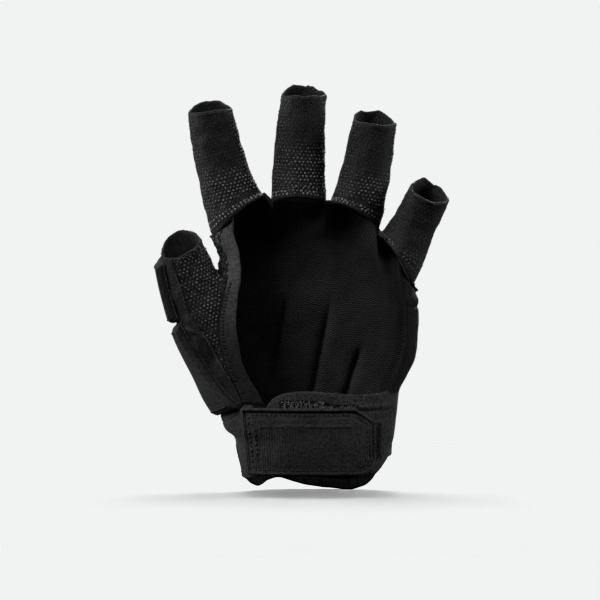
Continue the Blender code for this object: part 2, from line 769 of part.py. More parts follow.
def make_wrist_strap(material):
    right = STRAP_LEFT_END + STRAP_LENGTH
    upper_edge = STRAP_LOWER_EDGE + STRAP_WIDTH

    def top(x):
        over = max(x - (right - STRAP_CUT_LENGTH), 0.0) / STRAP_CUT_LENGTH
        return upper_edge - STRAP_CUT_DROP * over

    def bottom(x):
        over = max(x - (right - STRAP_CORNER), 0.0) / STRAP_CORNER
        return STRAP_LOWER_EDGE + STRAP_CORNER * (1 - math.sqrt(max(1 - over**2, 0.0)))

    sides = (lambda row: STRAP_LEFT_END + STRAP_SLANT * (1 - row), lambda row: right)
    low = LOOP_PATCH_THICKNESS + 2 * SEAM
    front_sheet("wrist_strap", sides, bottom, top, (low, low + STRAP_THICKNESS), 24, material)


def make_hook_tape(material):
    right = STRAP_LEFT_END + STRAP_LENGTH + HOOK_TAPE_SHOWS
    low = STRAP_LOWER_EDGE + (STRAP_WIDTH - HOOK_TAPE_WIDTH) / 2
    sides = (lambda row: right - HOOK_TAPE_LENGTH, lambda row: right)
    distances = (SEAM, SEAM + HOOK_TAPE_THICKNESS)
    front_sheet("hook_tape", sides, lambda x: low, lambda x: low + HOOK_TAPE_WIDTH, distances, 4, material)


def make_knuckle_pads(material):
    for finger, (low_left, low_right, high_left, high_right, low, high) in KNUCKLE_PADS.items():

        def surface(across, along):
            left = low_left + (high_left - low_left) * along
            right = low_right + (high_right - low_right) * along
            x = (left + (right - left) * across) * HAND_WIDTH
            return back_point(x, palm_height(low + (high - low) * along), 0.0)

        pad_on("knuckle_pad_" + finger, surface, (0.0, 1.0), (0.0, 1.0), KNUCKLE_PAD_THICKNESS, -1, material)


def main():
    remove_scene_objects()
    knit = fabric("black_knit", BLACK_KNIT, 0.85)
    grip = fabric("grip_fabric", GRIP_FABRIC, 0.55)
    stretch = fabric("smooth_stretch", SMOOTH_STRETCH, 0.75)
    foam = fabric("foam_cover", FOAM_COVER, 0.6)
    strap = fabric("strap_cover", STRAP_COVER, 0.6)
    pile = fabric("loop_pile", LOOP_PILE, 0.95)
    make_back_panel(knit)
    make_thumb_side_strip(stretch)
    make_ulnar_side_panel(stretch)
    for finger in FINGERS:
        make_finger_sleeve(finger, grip)
        make_finger_pads(finger, foam)
    make_thumb_sleeve(grip)
    make_thumb_pads(foam)
    make_knuckle_pads(foam)
    make_cuff(stretch)
    make_closure_flap(stretch)
    make_loop_patch(pile)
    make_hook_tape(pile)
    make_wrist_strap(strap)


main()
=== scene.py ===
import math

import bpy
import numpy as np
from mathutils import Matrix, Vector


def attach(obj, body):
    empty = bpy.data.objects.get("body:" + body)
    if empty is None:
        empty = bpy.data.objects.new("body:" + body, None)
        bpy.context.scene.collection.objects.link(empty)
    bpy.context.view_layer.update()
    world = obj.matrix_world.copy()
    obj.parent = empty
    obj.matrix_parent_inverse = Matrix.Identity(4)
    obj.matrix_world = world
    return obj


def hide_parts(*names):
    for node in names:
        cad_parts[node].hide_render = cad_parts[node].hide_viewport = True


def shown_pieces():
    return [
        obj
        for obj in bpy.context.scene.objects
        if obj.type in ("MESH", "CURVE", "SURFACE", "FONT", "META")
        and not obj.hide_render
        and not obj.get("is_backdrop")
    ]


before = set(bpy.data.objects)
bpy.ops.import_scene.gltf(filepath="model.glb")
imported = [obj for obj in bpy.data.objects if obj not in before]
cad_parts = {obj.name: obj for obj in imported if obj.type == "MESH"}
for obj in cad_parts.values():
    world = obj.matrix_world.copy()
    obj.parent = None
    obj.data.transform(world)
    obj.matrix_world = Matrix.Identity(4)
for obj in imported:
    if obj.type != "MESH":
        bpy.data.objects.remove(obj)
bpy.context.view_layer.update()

# Sizes of the glove in metres, as in the solids
HAND_WIDTH = 0.100
HAND_DEPTH = 0.030
PALM_LENGTH = 0.100
WRIST_WIDTH = 0.080
WRIST_DEPTH = 0.043
CUFF_HEIGHT = 0.040
BACK_WALL = 0.0028
SHELL_WALL = 0.0018
SLEEVE_WALL = 0.0014
CUFF_WALL = 0.0022
FINGER_DEPTH = 0.0215
THUMB_DEPTH = 0.0220
FRONT_HEM_DEPTH = 0.0120
GROOVE_DEPTH = 0.0008
GROOVE_WIDTH = 0.0034
VALLEY_REACH = 0.020
THUMB_PAD_THICKNESS = 0.0046
FINGER_PAD_THICKNESS = 0.0045
KNUCKLE_PAD_THICKNESS = 0.0055
STRAP_THICKNESS = 0.0024
STRAP_LENGTH = 0.0650
STRAP_WIDTH = 0.0305
STRAP_LEFT_END = -0.0361
STRAP_LOWER_EDGE = 0.0055
STRAP_SLANT = 0.0030
STRAP_CUT_LENGTH = 0.0095
STRAP_CUT_DROP = 0.0063
STRAP_CORNER = 0.0080
LOOP_PATCH_LENGTH = 0.0385
LOOP_PATCH_WIDTH = 0.0300
LOOP_PATCH_SHOWS = 0.0050
LOOP_PATCH_INSET = 0.0030
HOOK_TAPE_WIDTH = 0.0170
HOOK_TAPE_LENGTH = 0.0110
HOOK_TAPE_SHOWS = 0.0030
FINGER_ROOT_SHARE = 1.06
FINGER_TIP_SHARE = 0.90
THUMB_ROOT_SHARE = 1.14
THUMB_TIP_SHARE = 0.84
TIP_ROUND = 1.25
ROUNDNESS = 2.5
SEAM_LAP = 0.0003

CUFF_SECTIONS = [
    # height, left, right, front, back
    (-0.20, -0.444, 0.456, 0.488, 0.488),
    (0.00, -0.460, 0.462, 0.500, 0.488),
    (0.20, -0.472, 0.465, 0.512, 0.488),
    (0.38, -0.494, 0.472, 0.512, 0.477),
    (0.54, -0.512, 0.484, 0.512, 0.470),
    (0.63, -0.562, 0.491, 0.507, 0.465),
    (0.75, -0.588, 0.500, 0.500, 0.453),
    (0.95, -0.594, 0.512, 0.481, 0.435),
]
PALM_SECTIONS = [
    # height, left, right, front, back
    (0.05, -0.495, 0.418, 0.663, 0.600),
    (0.12, -0.520, 0.453, 0.633, 0.577),
    (0.19, -0.545, 0.489, 0.607, 0.557),
    (0.35, -0.575, 0.513, 0.560, 0.520),
    (0.50, -0.550, 0.508, 0.520, 0.500),
    (0.58, -0.515, 0.492, 0.503, 0.495),
    (0.64, -0.491, 0.490, 0.487, 0.490),
    (0.72, -0.484, 0.492, 0.470, 0.483),
    (0.81, -0.518, 0.495, 0.453, 0.477),
    (1.02, -0.540, 0.500, 0.427, 0.450),
]
FINGER_BASES = {
    # finger: left x, left height, right x, right height
    "index": (-0.515, 0.810, -0.260, 1.025),
    "middle": (-0.225, 0.992, 0.050, 0.985),
    "ring": (0.073, 0.987, 0.315, 0.855),
    "little": (0.325, 0.840, 0.489, 0.580),
}
FINGERS = {
    # finger: length, lean, root width, tip width, tip slope, arch, tip drop, tip rise, tip skew, curl, bow
    "index": (0.0538, -14.8, 0.0288, 0.0224, 6.5, 0.0030, 0.0002, 0.0052, 0.0, 0.0060, -0.0017),
    "middle": (0.0528, 2.7, 0.0276, 0.0225, 0.0, 0.0037, 0.0004, 0.0052, -0.2, 0.0045, -0.0007),
    "ring": (0.0480, 11.7, 0.0268, 0.0218, -6.6, 0.0040, 0.0022, 0.0049, -0.4, 0.0060, 0.0008),
    "little": (0.0363, 25.9, 0.0242, 0.0206, -21.3, 0.0015, 0.0046, 0.0050, -0.4, 0.0070, 0.0000),
}
THUMB_SIDES = [
    # share from the tip, inner x, inner height, outer x, outer height
    (0.00, -0.570, 0.805, -0.770, 0.723),
    (0.25, -0.543, 0.745, -0.727, 0.530),
    (0.50, -0.522, 0.695, -0.672, 0.335),
    (0.75, -0.505, 0.660, -0.569, 0.128),
    (0.88, -0.497, 0.647, -0.522, 0.025),
    (1.00, -0.491, 0.635, -0.466, -0.065),
]
THUMB_TIP_DROP = 0.0042
THUMB_TIP_RISE = 0.0077
THUMB_CURL = 0.0080
THUMB_TIP_SKEW = 0.05
THUMB_AXIS = np.array((-0.38, 0.0, 0.92))
THUMB_SEAM = [
    # height, x
    (-0.065, -0.466),
    (-0.055, -0.425),
    (-0.020, -0.375),
    (0.033, -0.386),
    (0.120, -0.426),
    (0.195, -0.450),
    (0.280, -0.472),
    (0.395, -0.480),
    (0.480, -0.466),
    (0.570, -0.455),
    (0.605, -0.470),
    (0.635, -0.491),
]
PALM_LEFT_EDGE = [
    # height, x
    (-0.030, -0.265),
    (0.030, -0.292),
    (0.105, -0.340),
    (0.180, -0.375),
    (0.275, -0.395),
    (0.372, -0.408),
    (0.520, -0.400),
    (0.603, -0.387),
    (0.680, -0.387),
    (0.755, -0.395),
    (0.815, -0.415),
    (0.900, -0.417),
]
PALM_RIGHT_EDGE = [
    # height, x
    (0.050, 0.368),
    (0.090, 0.395),
    (0.160, 0.425),
    (0.245, 0.445),
    (0.335, 0.457),
    (0.410, 0.457),
    (0.490, 0.450),
    (0.565, 0.442),
    (0.640, 0.425),
]
FLAP_TOP = [
    # x, height
    (-0.262, 0.84),
    (-0.247, 0.92),
    (-0.215, 1.01),
    (-0.165, 1.075),
    (-0.088, 1.112),
    (0.100, 1.100),
    (0.294, 1.075),
    (0.456, 1.116),
]
FLAP_BOTTOM = [
    # x, height
    (-0.262, 0.125),
    (0.000, 0.100),
    (0.288, 0.080),
    (0.375, 0.110),
    (0.425, 0.210),
    (0.470, 0.330),
]
FLAP_LEFT_END = -0.262
CUFF_FRONT_END = -0.331
CUFF_TURN = [
    # share of the way round, upper edge, lower edge
    (0.00, 0.930, 0.120),
    (0.05, 0.920, 0.090),
    (0.12, 0.830, 0.070),
    (0.18, 0.800, 0.060),
    (0.26, 0.790, 0.060),
    (0.34, 0.800, 0.000),
    (0.40, 0.830, -0.060),
    (0.44, 0.880, -0.088),
    (0.48, 0.930, -0.062),
    (0.52, 0.945, -0.012),
    (0.57, 0.945, 0.012),
    (0.64, 0.945, -0.055),
    (0.69, 0.945, -0.105),
    (0.75, 0.945, -0.130),
    (0.80, 0.945, -0.152),
    (0.84, 0.945, -0.125),
    (0.91, 0.945, -0.030),
    (0.955, 0.945, 0.110),
    (1.00, 0.945, 0.320),
]
GROOVES = [
    # lower x, lower height, upper x, upper height
    (-0.212, 0.14, -0.145, 0.55),
    (-0.005, 0.06, 0.085, 0.51),
    (0.175, 0.04, 0.250, 0.28),
]
KNUCKLE_PADS = {
    # finger: lower left x, lower right x, upper left x, upper right x, lower height, upper height
    "index": (-0.345, -0.235, -0.405, -0.215, 0.22, 0.72),
    "middle": (-0.165, -0.055, -0.165, -0.005, 0.18, 0.80),
    "ring": (0.035, 0.125, 0.080, 0.220, 0.16, 0.72),
    "little": (0.215, 0.320, 0.285, 0.390, 0.16, 0.48),
}
DOT_PAINTED_HIGHLIGHT = {
    # finger: share of the way up where the dots start to fade, painted highlight of the flatter upper
    # middle, painted highlight of the rest
    "index": (0.34, 0.03, 0.95),
    "middle": (0.42, 0.04, 0.90),
    "ring": (0.34, 0.06, 0.85),
    "little": (0.10, 0.04, 0.40),
}
THUMB_GRIP_EDGE = [
    # height, x: where the dotted cloth of the thumb starts
    (-0.10, -0.330),
    (0.085, -0.410),
    (0.145, -0.450),
    (0.240, -0.500),
    (0.295, -0.530),
    (0.367, -0.585),
    (0.440, -0.630),
    (0.535, -0.660),
    (0.615, -0.685),
    (0.680, -0.705),
    (0.800, -0.740),
]
THUMB_FOLD = [
    # x, height: the fold where the lower plain cloth laps over the upper
    (-0.690, 0.392),
    (-0.680, 0.388),
    (-0.631, 0.370),
    (-0.581, 0.350),
    (-0.540, 0.316),
    (-0.500, 0.270),
]
GUSSET_EDGE = [
    # height, x: where the dotted gusset beside the index finger meets the smooth strip
    (0.545, -0.462),
    (0.580, -0.452),
    (0.660, -0.445),
    (0.750, -0.458),
    (0.830, -0.452),
]
THUMB_PADS = {
    # pad: turns in degrees, shares from the tip, steps across and along
    "upper": ((112, 203), (0.035, 0.430), (44, 50)),
    "lower": ((116, 207), (0.445, 0.995), (44, 72)),
}
FINGER_PADS = [(0.16, 0.50), (0.56, 0.88)]
FINGER_PAD_TURNS = (math.radians(48), math.radians(132))
SIDE_SEAM_ANGLE = math.radians(27)
SIDE_SEAM_TOP = 0.62
GUSSET_BACK_TURN = 0.75
STRAP_RIGHT = STRAP_LEFT_END + STRAP_LENGTH
STRAP_TOP = STRAP_LOWER_EDGE + STRAP_WIDTH
STRAP_FLOOR = 0.0014
STRAP_BAND = 0.0072
STRAP_BINDING = 0.0005

# Sewing and fabric sizes in metres
DOT_SPACING = 0.00205
DOT_ROW = 0.00175
DOT_RADIUS = 0.00052
DOT_HEIGHT = 0.00040
HEM_ROWS = (0.0021, 0.0039)
HEM_SPACING = 0.0021
HEM_DOT_RADIUS = 0.00066
HEM_REACH = (-86, 86)
FRINGE_LENGTH = 0.0012
FRINGE_THICKNESS = 0.00024
FRINGE_COUNT = 260
FRAY_SHARPNESS = 30
PIPING_FLATNESS = 0.7
LOOP_LENGTH = 0.0013
LOOP_THICKNESS = 0.00030
COLUMN_SWELL = 0.0017
PUCKER_DEPTH = 0.00034
PUCKER_PITCH = 0.0029
GUSSET_WALL = 0.0010
GUSSET_RISE = 0.00025
SIDE_FOLD = 0.0905
CREASE_HEIGHT = 0.0358
CREASE_LEFT = 0.018
CREASE_RIGHT = 0.031
PUFF_LIMIT = 0.0007
PUFF_FRAMES = 20
CUFF_TOP = 0.945 * CUFF_HEIGHT

FOLDS = {
    # cloth: depth, usual distance and seed of its large folds, and then of its small ones
    "finger": (0.00022, 0.011, 20, 0.00012, 0.005, 30),
    "finger tip": (0.00013, 0.0030, 40, 0.00030, 0.008, 50),
    "thumb": (0.00030, 0.013, 61, 0.00014, 0.006, 62),
    "thumb tip": (0.00013, 0.0030, 63, 0.00030, 0.008, 64),
    "thumb cover": (0.00022, 0.012, 65, 0.00012, 0.005, 66),
    "back": (0.00020, 0.012, 71, 0.00010, 0.005, 72),
    "lining": (0.00034, 0.019, 73, 0.00014, 0.008, 74),
    "strip": (0.00022, 0.014, 81, 0.00008, 0.004, 82),
    "side": (0.00016, 0.016, 83, 0.00008, 0.006, 84),
    "gusset": (0.00035, 0.0045, 86, 0.00030, 0.0024, 87),
    "cuff": (0.00035, 0.016, 91, 0.00014, 0.006, 92),
    "flap": (0.00022, 0.015, 93, 0.00010, 0.005, 94),
    "strap": (0.00018, 0.014, 95, 0.00008, 0.0045, 96),
}
STITCHES = {
    # row: thread, pitch, length, thickness, slant in radians, start in pitches
    "finger hem": ("thread", 0.0019, 0.0013, 0.00040, 0.0, 0.5),
    "thumb edge": ("thread", 0.0021, 0.0014, 0.00036, 0.0, 0.5),
    # Near-black thread, darker than the cloth, painted shade down the sewn channels.
    "channel": ("black", 0.0024, 0.0016, 0.00040, 0.0, 0.5),
    "strip": ("black", 0.0017, 0.0020, 0.00055, 0.9, 0.5),
    "strip light": ("light", 0.0023, 0.0012, 0.00040, 0.5, 0.5),
    "gusset": ("thread", 0.0017, 0.0017, 0.00050, 0.6, 0.5),
    "cuff hem": ("thread", 0.0022, 0.0015, 0.00036, 0.0, 0.5),
    "strap edge": ("light", 0.0024, 0.0014, 0.00046, 0.5, 0.5),
    # The holes rows lay near-black dashes as painted shade in the needle holes.
    "strap edge holes": ("black", 0.0024, 0.0018, 0.00080, 0.8, 1.0),
    "strap box": ("light", 0.0032, 0.0017, 0.00040, 1.0, 0.5),
    "strap box holes": ("black", 0.0024, 0.0024, 0.00085, 0.9, 1.0),
}

# The lining's rows in millimetres: their pitch, and the length and height of their waves
KNIT_ROW = 1.15
KNIT_WAVE = 2.7
KNIT_SWING = 0.75

# Heights between which the thumb-side strip is painted lighter as painted highlight, and where the cuff's
# foot, painted near black as painted shade, fades
PAINTED_HIGHLIGHT_HEIGHTS = (0.068, 0.124)
PAINTED_SHADE_HEIGHTS = (0.0042, 0.0062)
PAINTED_SHADE_SIDES = (-0.016, -0.006)
PAINTED_SHADE_DEPTHS = (-0.012, -0.004)


# Shapes

def smooth_curve(stations, values):
    """A smooth function through the given values, held at its ends."""
    stations = np.asarray(stations, float)
    values = np.asarray(values, float)
    slopes = np.gradient(values, stations)

    def read(at):
        at = np.clip(at, stations[0], stations[-1])
        k = np.clip(np.searchsorted(stations, at) - 1, 0, len(stations) - 2)
        span = stations[k + 1] - stations[k]
        t = (at - stations[k]) / span
        start = (1 + 2 * t) * (1 - t) ** 2 * values[k] + t * (1 - t) ** 2 * span * slopes[k]
        end = t * t * (3 - 2 * t) * values[k + 1] - t * t * (1 - t) * span * slopes[k + 1]
        return start + end

    return read


def palm_height(share):
    return CUFF_HEIGHT + np.asarray(share) * PALM_LENGTH


def ease(share):
    share = np.clip(share, 0.0, 1.0)
    return share * share * (3 - 2 * share)


def bump_at(value, centre, width):
    return np.exp(-(((value - centre) / width) ** 2))


def section_curves():
    """Left, right, front and back of the hand as functions of height."""
    rows = []
    for height, left, right, front, back in CUFF_SECTIONS:
        sides = (left * WRIST_WIDTH, right * WRIST_WIDTH)
        rows.append((height * CUFF_HEIGHT, *sides, front * WRIST_DEPTH, back * WRIST_DEPTH))
    for height, left, right, front, back in PALM_SECTIONS:
        sides = (left * HAND_WIDTH, right * HAND_WIDTH)
        rows.append((palm_height(height), *sides, front * HAND_DEPTH, back * HAND_DEPTH))
    columns = list(zip(*rows))
    return [smooth_curve(columns[0], column) for column in columns[1:]]


LEFT_OF, RIGHT_OF, FRONT_OF, BACK_OF = section_curves()


def signed_power(value, power):
    return np.sign(value) * np.abs(value) ** power


def hand_point(angle, z, inset=0.0):
    """A point of the hand's section. Angle 0 is the little-finger side, 90 degrees the back."""
    angle, z = np.broadcast_arrays(angle, z)
    left = LEFT_OF(z)
    right = RIGHT_OF(z)
    depth = np.where(np.sin(angle) >= 0, BACK_OF(z), FRONT_OF(z)) - inset
    half = (right - left) / 2 - inset
    x = (left + right) / 2 + half * signed_power(np.cos(angle), 2 / ROUNDNESS)
    y = depth * signed_power(np.sin(angle), 2 / ROUNDNESS)
    return np.stack((x, y, z), -1)


def angle_at(x, z, side, inset=0.0):
    """The section angle at x, on the back (side 1) or on the palm side (side -1)."""
    left = LEFT_OF(z) + inset
    right = RIGHT_OF(z) - inset
    share = np.clip((2 * x - left - right) / (right - left), -0.9999, 0.9999)
    return side * np.arccos(signed_power(share, ROUNDNESS / 2))


def side_seam_x(z, angle):
    return hand_point(angle, z)[..., 0]


def finger_base(finger):
    left_x, left_height, right_x, right_height = FINGER_BASES[finger]
    left = np.array((left_x * HAND_WIDTH, palm_height(left_height)))
    right = np.array((right_x * HAND_WIDTH, palm_height(right_height)))
    return left, right


def knuckle_line(x):
    """Height of the seam between the hand and the finger sleeves."""
    ends = [end for finger in FINGER_BASES for end in finger_base(finger)]
    return np.interp(x, [end[0] for end in ends], [end[1] for end in ends])


def finger_hump(x):
    """1 behind the middle of a finger and 0 at and between its sides."""
    hump = np.zeros(np.shape(x))
    for finger in FINGER_BASES:
        left, right = finger_base(finger)
        across = (2 * x - left[0] - right[0]) / (right[0] - left[0])
        hump = np.where(np.abs(across) < 1, np.cos(math.pi / 2 * across), hump)
    return hump


def groove_places(x, z):
    """For each sewn groove, the distance from its line and the share of the way up it."""
    for lower_x, lower_height, upper_x, upper_height in GROOVES:
        low = palm_height(lower_height)
        high = palm_height(upper_height)
        along = (z - low) / (high - low)
        line = (lower_x + (upper_x - lower_x) * along) * HAND_WIDTH
        yield x - line, along


def groove_strength(along):
    return (1 - ease((along - 0.6) / 0.5)) * ease((along + 0.3) / 0.2)


def groove_share(x, z):
    """1 on a sewn groove, fading to 0 beside it and above its upper end."""
    share = 0.0
    for off, along in groove_places(x, z):
        share = share + bump_at(off, 0.0, GROOVE_WIDTH) * groove_strength(along)
    return np.minimum(share, 1.0)


def back_at_angle(angle, z, inset):
    """The back of the hand, which runs in between the fingers at its upper edge."""
    outside = hand_point(angle, z)
    inside = hand_point(angle, z, inset)
    x = outside[..., 0]
    nearness = ease(1 - (knuckle_line(x) - z) / VALLEY_REACH)
    y = outside[..., 1] * (1 - nearness * (1 - finger_hump(x))) + inside[..., 1] - outside[..., 1]
    sink = GROOVE_DEPTH * groove_share(x, z) * (1 if inset else -1)
    return np.stack((inside[..., 0], y + sink, np.broadcast_to(z, x.shape)), -1)


def back_point(x, z, inset=0.0):
    return back_at_angle(angle_at(x, z, 1), z, inset)


def finger_point(finger, angle, share):
    """A point of a finger sleeve: angle as on the hand, share 0 at the base and 1 at the tip."""
    length, lean, root, tip, slope, arch, drop, rise, skew, curl, bow = FINGERS[finger]
    angle, share = np.broadcast_arrays(angle, share)
    left, right = finger_base(finger)
    reach = right - left
    base_half = math.hypot(*reach) / 2
    base_slope = math.atan2(reach[1], reach[0])
    slope = math.radians(slope)
    lean = math.radians(lean)
    axis = np.array((math.sin(lean), math.cos(lean)))
    across = np.array((math.cos(lean), -math.sin(lean)))
    away = 1 - share
    way = axis * (length * share)[..., None] + across * (bow * np.sin(math.pi * share))[..., None]
    middle = (left + right) / 2 + way
    turn = slope + (base_slope - slope) * away**4.5
    half = tip / 2 + (root - tip) / 2 * away + (base_half - root / 2) * away**6
    lap = -SEAM_LAP * away**8
    x = middle[..., 0] + np.cos(turn) * half * np.cos(angle) - np.sin(turn) * lap
    z = middle[..., 1] + np.sin(turn) * half * np.cos(angle) + np.cos(turn) * lap
    back = np.clip(np.sin(angle), 0, 1)
    front = np.clip(-np.sin(angle), 0, 1)
    on_back = back_point(np.clip(x, left[0], right[0]), knuckle_line(x))[..., 1]
    base_y = np.where(back > 0, np.maximum(on_back, 0.0), -FRONT_HEM_DEPTH * front)
    skewed = rise * (1 + skew * np.cos(angle))
    move = skewed * back**TIP_ROUND * share**8 + arch * front**1.2 * away**6 - drop * front * share**8
    depth = FINGER_DEPTH / 2 * (FINGER_TIP_SHARE + (FINGER_ROOT_SHARE - FINGER_TIP_SHARE) * away)
    hold = away**4
    y = depth * np.sin(angle) * (1 - hold) + base_y * hold - curl * share**2
    return np.stack((x + axis[0] * move, y, z + axis[1] * move), -1)


def edge_curve(table):
    return smooth_curve([palm_height(row[0]) for row in table], [row[1] * HAND_WIDTH for row in table])


def thumb_side_curves():
    columns = list(zip(*THUMB_SIDES))
    inner_x, outer_x = (smooth_curve(columns[0], np.array(columns[k]) * HAND_WIDTH) for k in (1, 3))
    inner_z, outer_z = (smooth_curve(columns[0], palm_height(columns[k])) for k in (2, 4))
    return inner_x, inner_z, outer_x, outer_z


INNER_X, INNER_Z, OUTER_X, OUTER_Z = thumb_side_curves()
SEAM_X = edge_curve(THUMB_SEAM)
CROTCH = palm_height(THUMB_SEAM[-1][0])
HOLE_FOOT = palm_height(THUMB_SEAM[0][0])


def thumb_seam_point(angle):
    """The thumb sleeve's base, lapped a little past the hole in the hand."""
    middle = (CROTCH + HOLE_FOOT) / 2
    z = middle + ((CROTCH - HOLE_FOOT) / 2 + SEAM_LAP) * np.cos(angle)
    side = np.where(np.sin(angle) >= 0, 1, -1)
    return hand_point(angle_at(SEAM_X(z) + SEAM_LAP, z, side), z)


def thumb_point(angle, share):
    """A point of the thumb sleeve: share 0 at the tip and 1 at the base."""
    angle, share = np.broadcast_arrays(angle, share)

    def ring(at):
        inner = np.stack((INNER_X(at), INNER_Z(at)), -1)
        outer = np.stack((OUTER_X(at), OUTER_Z(at)), -1)
        spot = (inner + outer) / 2 + (inner - outer) / 2 * np.cos(angle)[..., None]
        depth = THUMB_DEPTH / 2 * (THUMB_TIP_SHARE + (THUMB_ROOT_SHARE - THUMB_TIP_SHARE) * at)
        y = depth * np.sin(angle) - THUMB_CURL * (1 - at) ** 1.5
        return np.stack((spot[..., 0], y, spot[..., 1]), -1)

    back = np.clip(np.sin(angle), 0, 1)
    front = np.clip(-np.sin(angle), 0, 1)
    rise = THUMB_TIP_RISE * back**TIP_ROUND * (1 + THUMB_TIP_SKEW * np.cos(angle))
    move = (rise - THUMB_TIP_DROP * front) * (1 - share) ** 12
    base = thumb_seam_point(angle) - ring(np.ones(share.shape))
    return ring(share) + THUMB_AXIS * move[..., None] + base * (share**3)[..., None]


# Small folds

def wander(points, size, seed, waves=10):
    """A smooth wandering value over points, mostly within -1 and 1. Its folds lie about size apart."""
    draw = np.random.default_rng(seed)
    total = 0.0
    for _ in range(waves):
        way = draw.normal(size=3)
        way *= 2 * math.pi / size * draw.uniform(0.6, 1.3) / np.linalg.norm(way)
        total = total + np.sin(points @ way + draw.uniform(0, 2 * math.pi))
    return total / math.sqrt(waves)


def folds(points, cloth, more=0):
    """The large and small folds of a cloth in the table."""
    depth, size, seed, small_depth, small_size, small_seed = FOLDS[cloth]
    large = depth * wander(points, size, seed + more)
    return large + small_depth * wander(points, small_size, small_seed + more)


def unit(vectors):
    """The same directions with length 1."""
    return vectors / np.maximum(np.linalg.norm(vectors, axis=-1, keepdims=True), 1e-12)


def walked_along(line):
    """How far each point of a line lies from its first one, along the line."""
    return np.concatenate([[0.0], np.cumsum(np.linalg.norm(np.diff(line, axis=0), axis=-1))])


def square_to(normals, ways):
    """Normals turned until they stand square on the ways."""
    return unit(normals - ways * (normals * ways).sum(-1, keepdims=True))


def grid_normals(points, closed=False):
    along = np.gradient(points, axis=0)
    if closed:
        across = np.roll(points, -1, 1) - np.roll(points, 1, 1)
    else:
        across = np.gradient(points, axis=1)
    return unit(np.cross(across, along))


def pushed(points, amount, closed=False):
    """The grid moved out along its normals."""
    return points + grid_normals(points, closed) * np.asarray(amount)[..., None]


# Meshes

HEM_TURNS = [math.radians(turn) for turn in (32, 62, 82)]


def round_ends(outer, inner, axis):
    """Adds narrowing rows past both ends of a wall, so that its edge is round."""
    outer = np.moveaxis(outer, axis, 0)
    inner = np.moveaxis(inner, axis, 0)
    middle = (outer + inner) / 2
    half = (outer - inner) / 2

    def past(end, before, sign):
        way = unit(middle[end] - middle[before]) * np.linalg.norm(half[end], axis=-1, keepdims=True)
        return [middle[end] + way * math.sin(turn) + sign * half[end] * math.cos(turn) for turn in HEM_TURNS]

    sides = []
    for side, sign in ((outer, 1), (inner, -1)):
        before = past(0, 1, sign)[::-1]
        after = past(-1, -2, sign)
        sides.append(np.moveaxis(np.concatenate([before, side, after]), 0, axis))
    return sides


def cloth_lengths(points, closed):
    """Distances across and along a grid, from its middle column and its first row, in millimetres."""
    loop = np.concatenate([points, points[:, :1]], 1) if closed else points
    across = np.linalg.norm(np.diff(loop, axis=1), axis=-1)
    across = np.concatenate([np.zeros((len(loop), 1)), np.cumsum(across, 1)], 1)
    across = across - across[:, across.shape[1] // 2, None]
    along = np.linalg.norm(np.diff(loop, axis=0), axis=-1)
    along = np.concatenate([np.zeros((1, along.shape[1])), np.cumsum(along, 0)], 0)
    return np.stack((across, along), -1) * 1000


def new_mesh(name, points, faces, places=None):
    """A mesh from arrays: faces of equal corner count, and a cloth place for each corner."""
    mesh = bpy.data.meshes.new(name)
    mesh.from_pydata(points.tolist(), [], faces.tolist())
    if places is not None:
        layer = mesh.uv_layers.new(name="cloth")
        layer.data.foreach_set("uv", places.astype(np.float32).ravel())
    mesh.shade_smooth()
    return mesh


def add_piece(name, mesh, finish, slot, *replaced):
    mesh.materials.append(finish)
    piece = bpy.data.objects.new(name, mesh)
    bpy.context.scene.collection.objects.link(piece)
    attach(piece, "root")
    if replaced:
        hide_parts(*replaced)
    return piece


SHAPE_SLACK = 0.00003
LONGEST_STEP = 6


def needed_lines(grid, axis, closed=False):
    """The lines of a grid that its shape needs. All others lie within SHAPE_SLACK of a straight run."""
    lines = np.moveaxis(grid, axis, 0)
    if closed:
        lines = np.concatenate([lines, lines[:1]])
    needed = [0]
    for last in range(2, len(lines)):
        run = lines[needed[-1]:last + 1]
        share = np.linspace(0.0, 1.0, len(run))[:, None, None]
        gap = np.linalg.norm(run - run[:1] * (1 - share) - run[-1:] * share, axis=-1).max()
        if gap > SHAPE_SLACK or len(run) > LONGEST_STEP:
            needed.append(last - 1)
    needed.append(len(lines) - 1)
    return needed


def wall_mesh(name, outer, inner, closed=False, thin=True):
    """A wall of cloth between two grids of points. A closed grid runs round a tube."""
    outer, inner = round_ends(outer, inner, 0)
    if not closed:
        outer, inner = round_ends(outer, inner, 1)
    lengths = cloth_lengths(outer, closed)
    if thin:
        row, column = needed_lines(outer, 0), needed_lines(outer, 1, closed)
        lengths = lengths[row][:, column]
        column = column[:-1] if closed else column
        outer, inner = outer[row][:, column], inner[row][:, column]
    rows, columns = outer.shape[:2]
    count = rows * columns
    points = np.concatenate([outer.reshape(-1, 3), inner.reshape(-1, 3)])
    number = np.arange(count).reshape(rows, columns)
    spread = np.concatenate([number, number[:, :1]], 1) if closed else number
    corners = [(slice(None, -1), slice(None, -1)), (slice(None, -1), slice(1, None))]
    corners += [(slice(1, None), slice(1, None)), (slice(1, None), slice(None, -1))]
    face = np.stack([spread[corner] for corner in corners], -1).reshape(-1, 4)
    place = np.stack([lengths[corner] for corner in corners], -2).reshape(-1, 4, 2)
    faces = [face, face[:, ::-1] + count]
    places = [place, place[:, ::-1]]
    edges = [(spread[0], lengths[0]), (spread[-1][::-1], lengths[-1][::-1])]
    if not closed:
        edges += [(number[::-1, 0], lengths[::-1, 0]), (number[:, -1], lengths[:, -1])]
    for edge, length in edges:
        faces.append(np.stack([edge[1:], edge[:-1], edge[:-1] + count, edge[1:] + count], -1))
        places.append(np.stack([length[1:], length[:-1], length[:-1], length[1:]], -2))
    return new_mesh(name, points, np.concatenate(faces), np.concatenate(places))


def add_cloth(name, outer, inner, finish, slot, replaced=(), closed=False):
    """A piece of cloth between two grids."""
    piece = add_piece(name, wall_mesh(name, outer, inner, closed), finish, slot, *replaced)


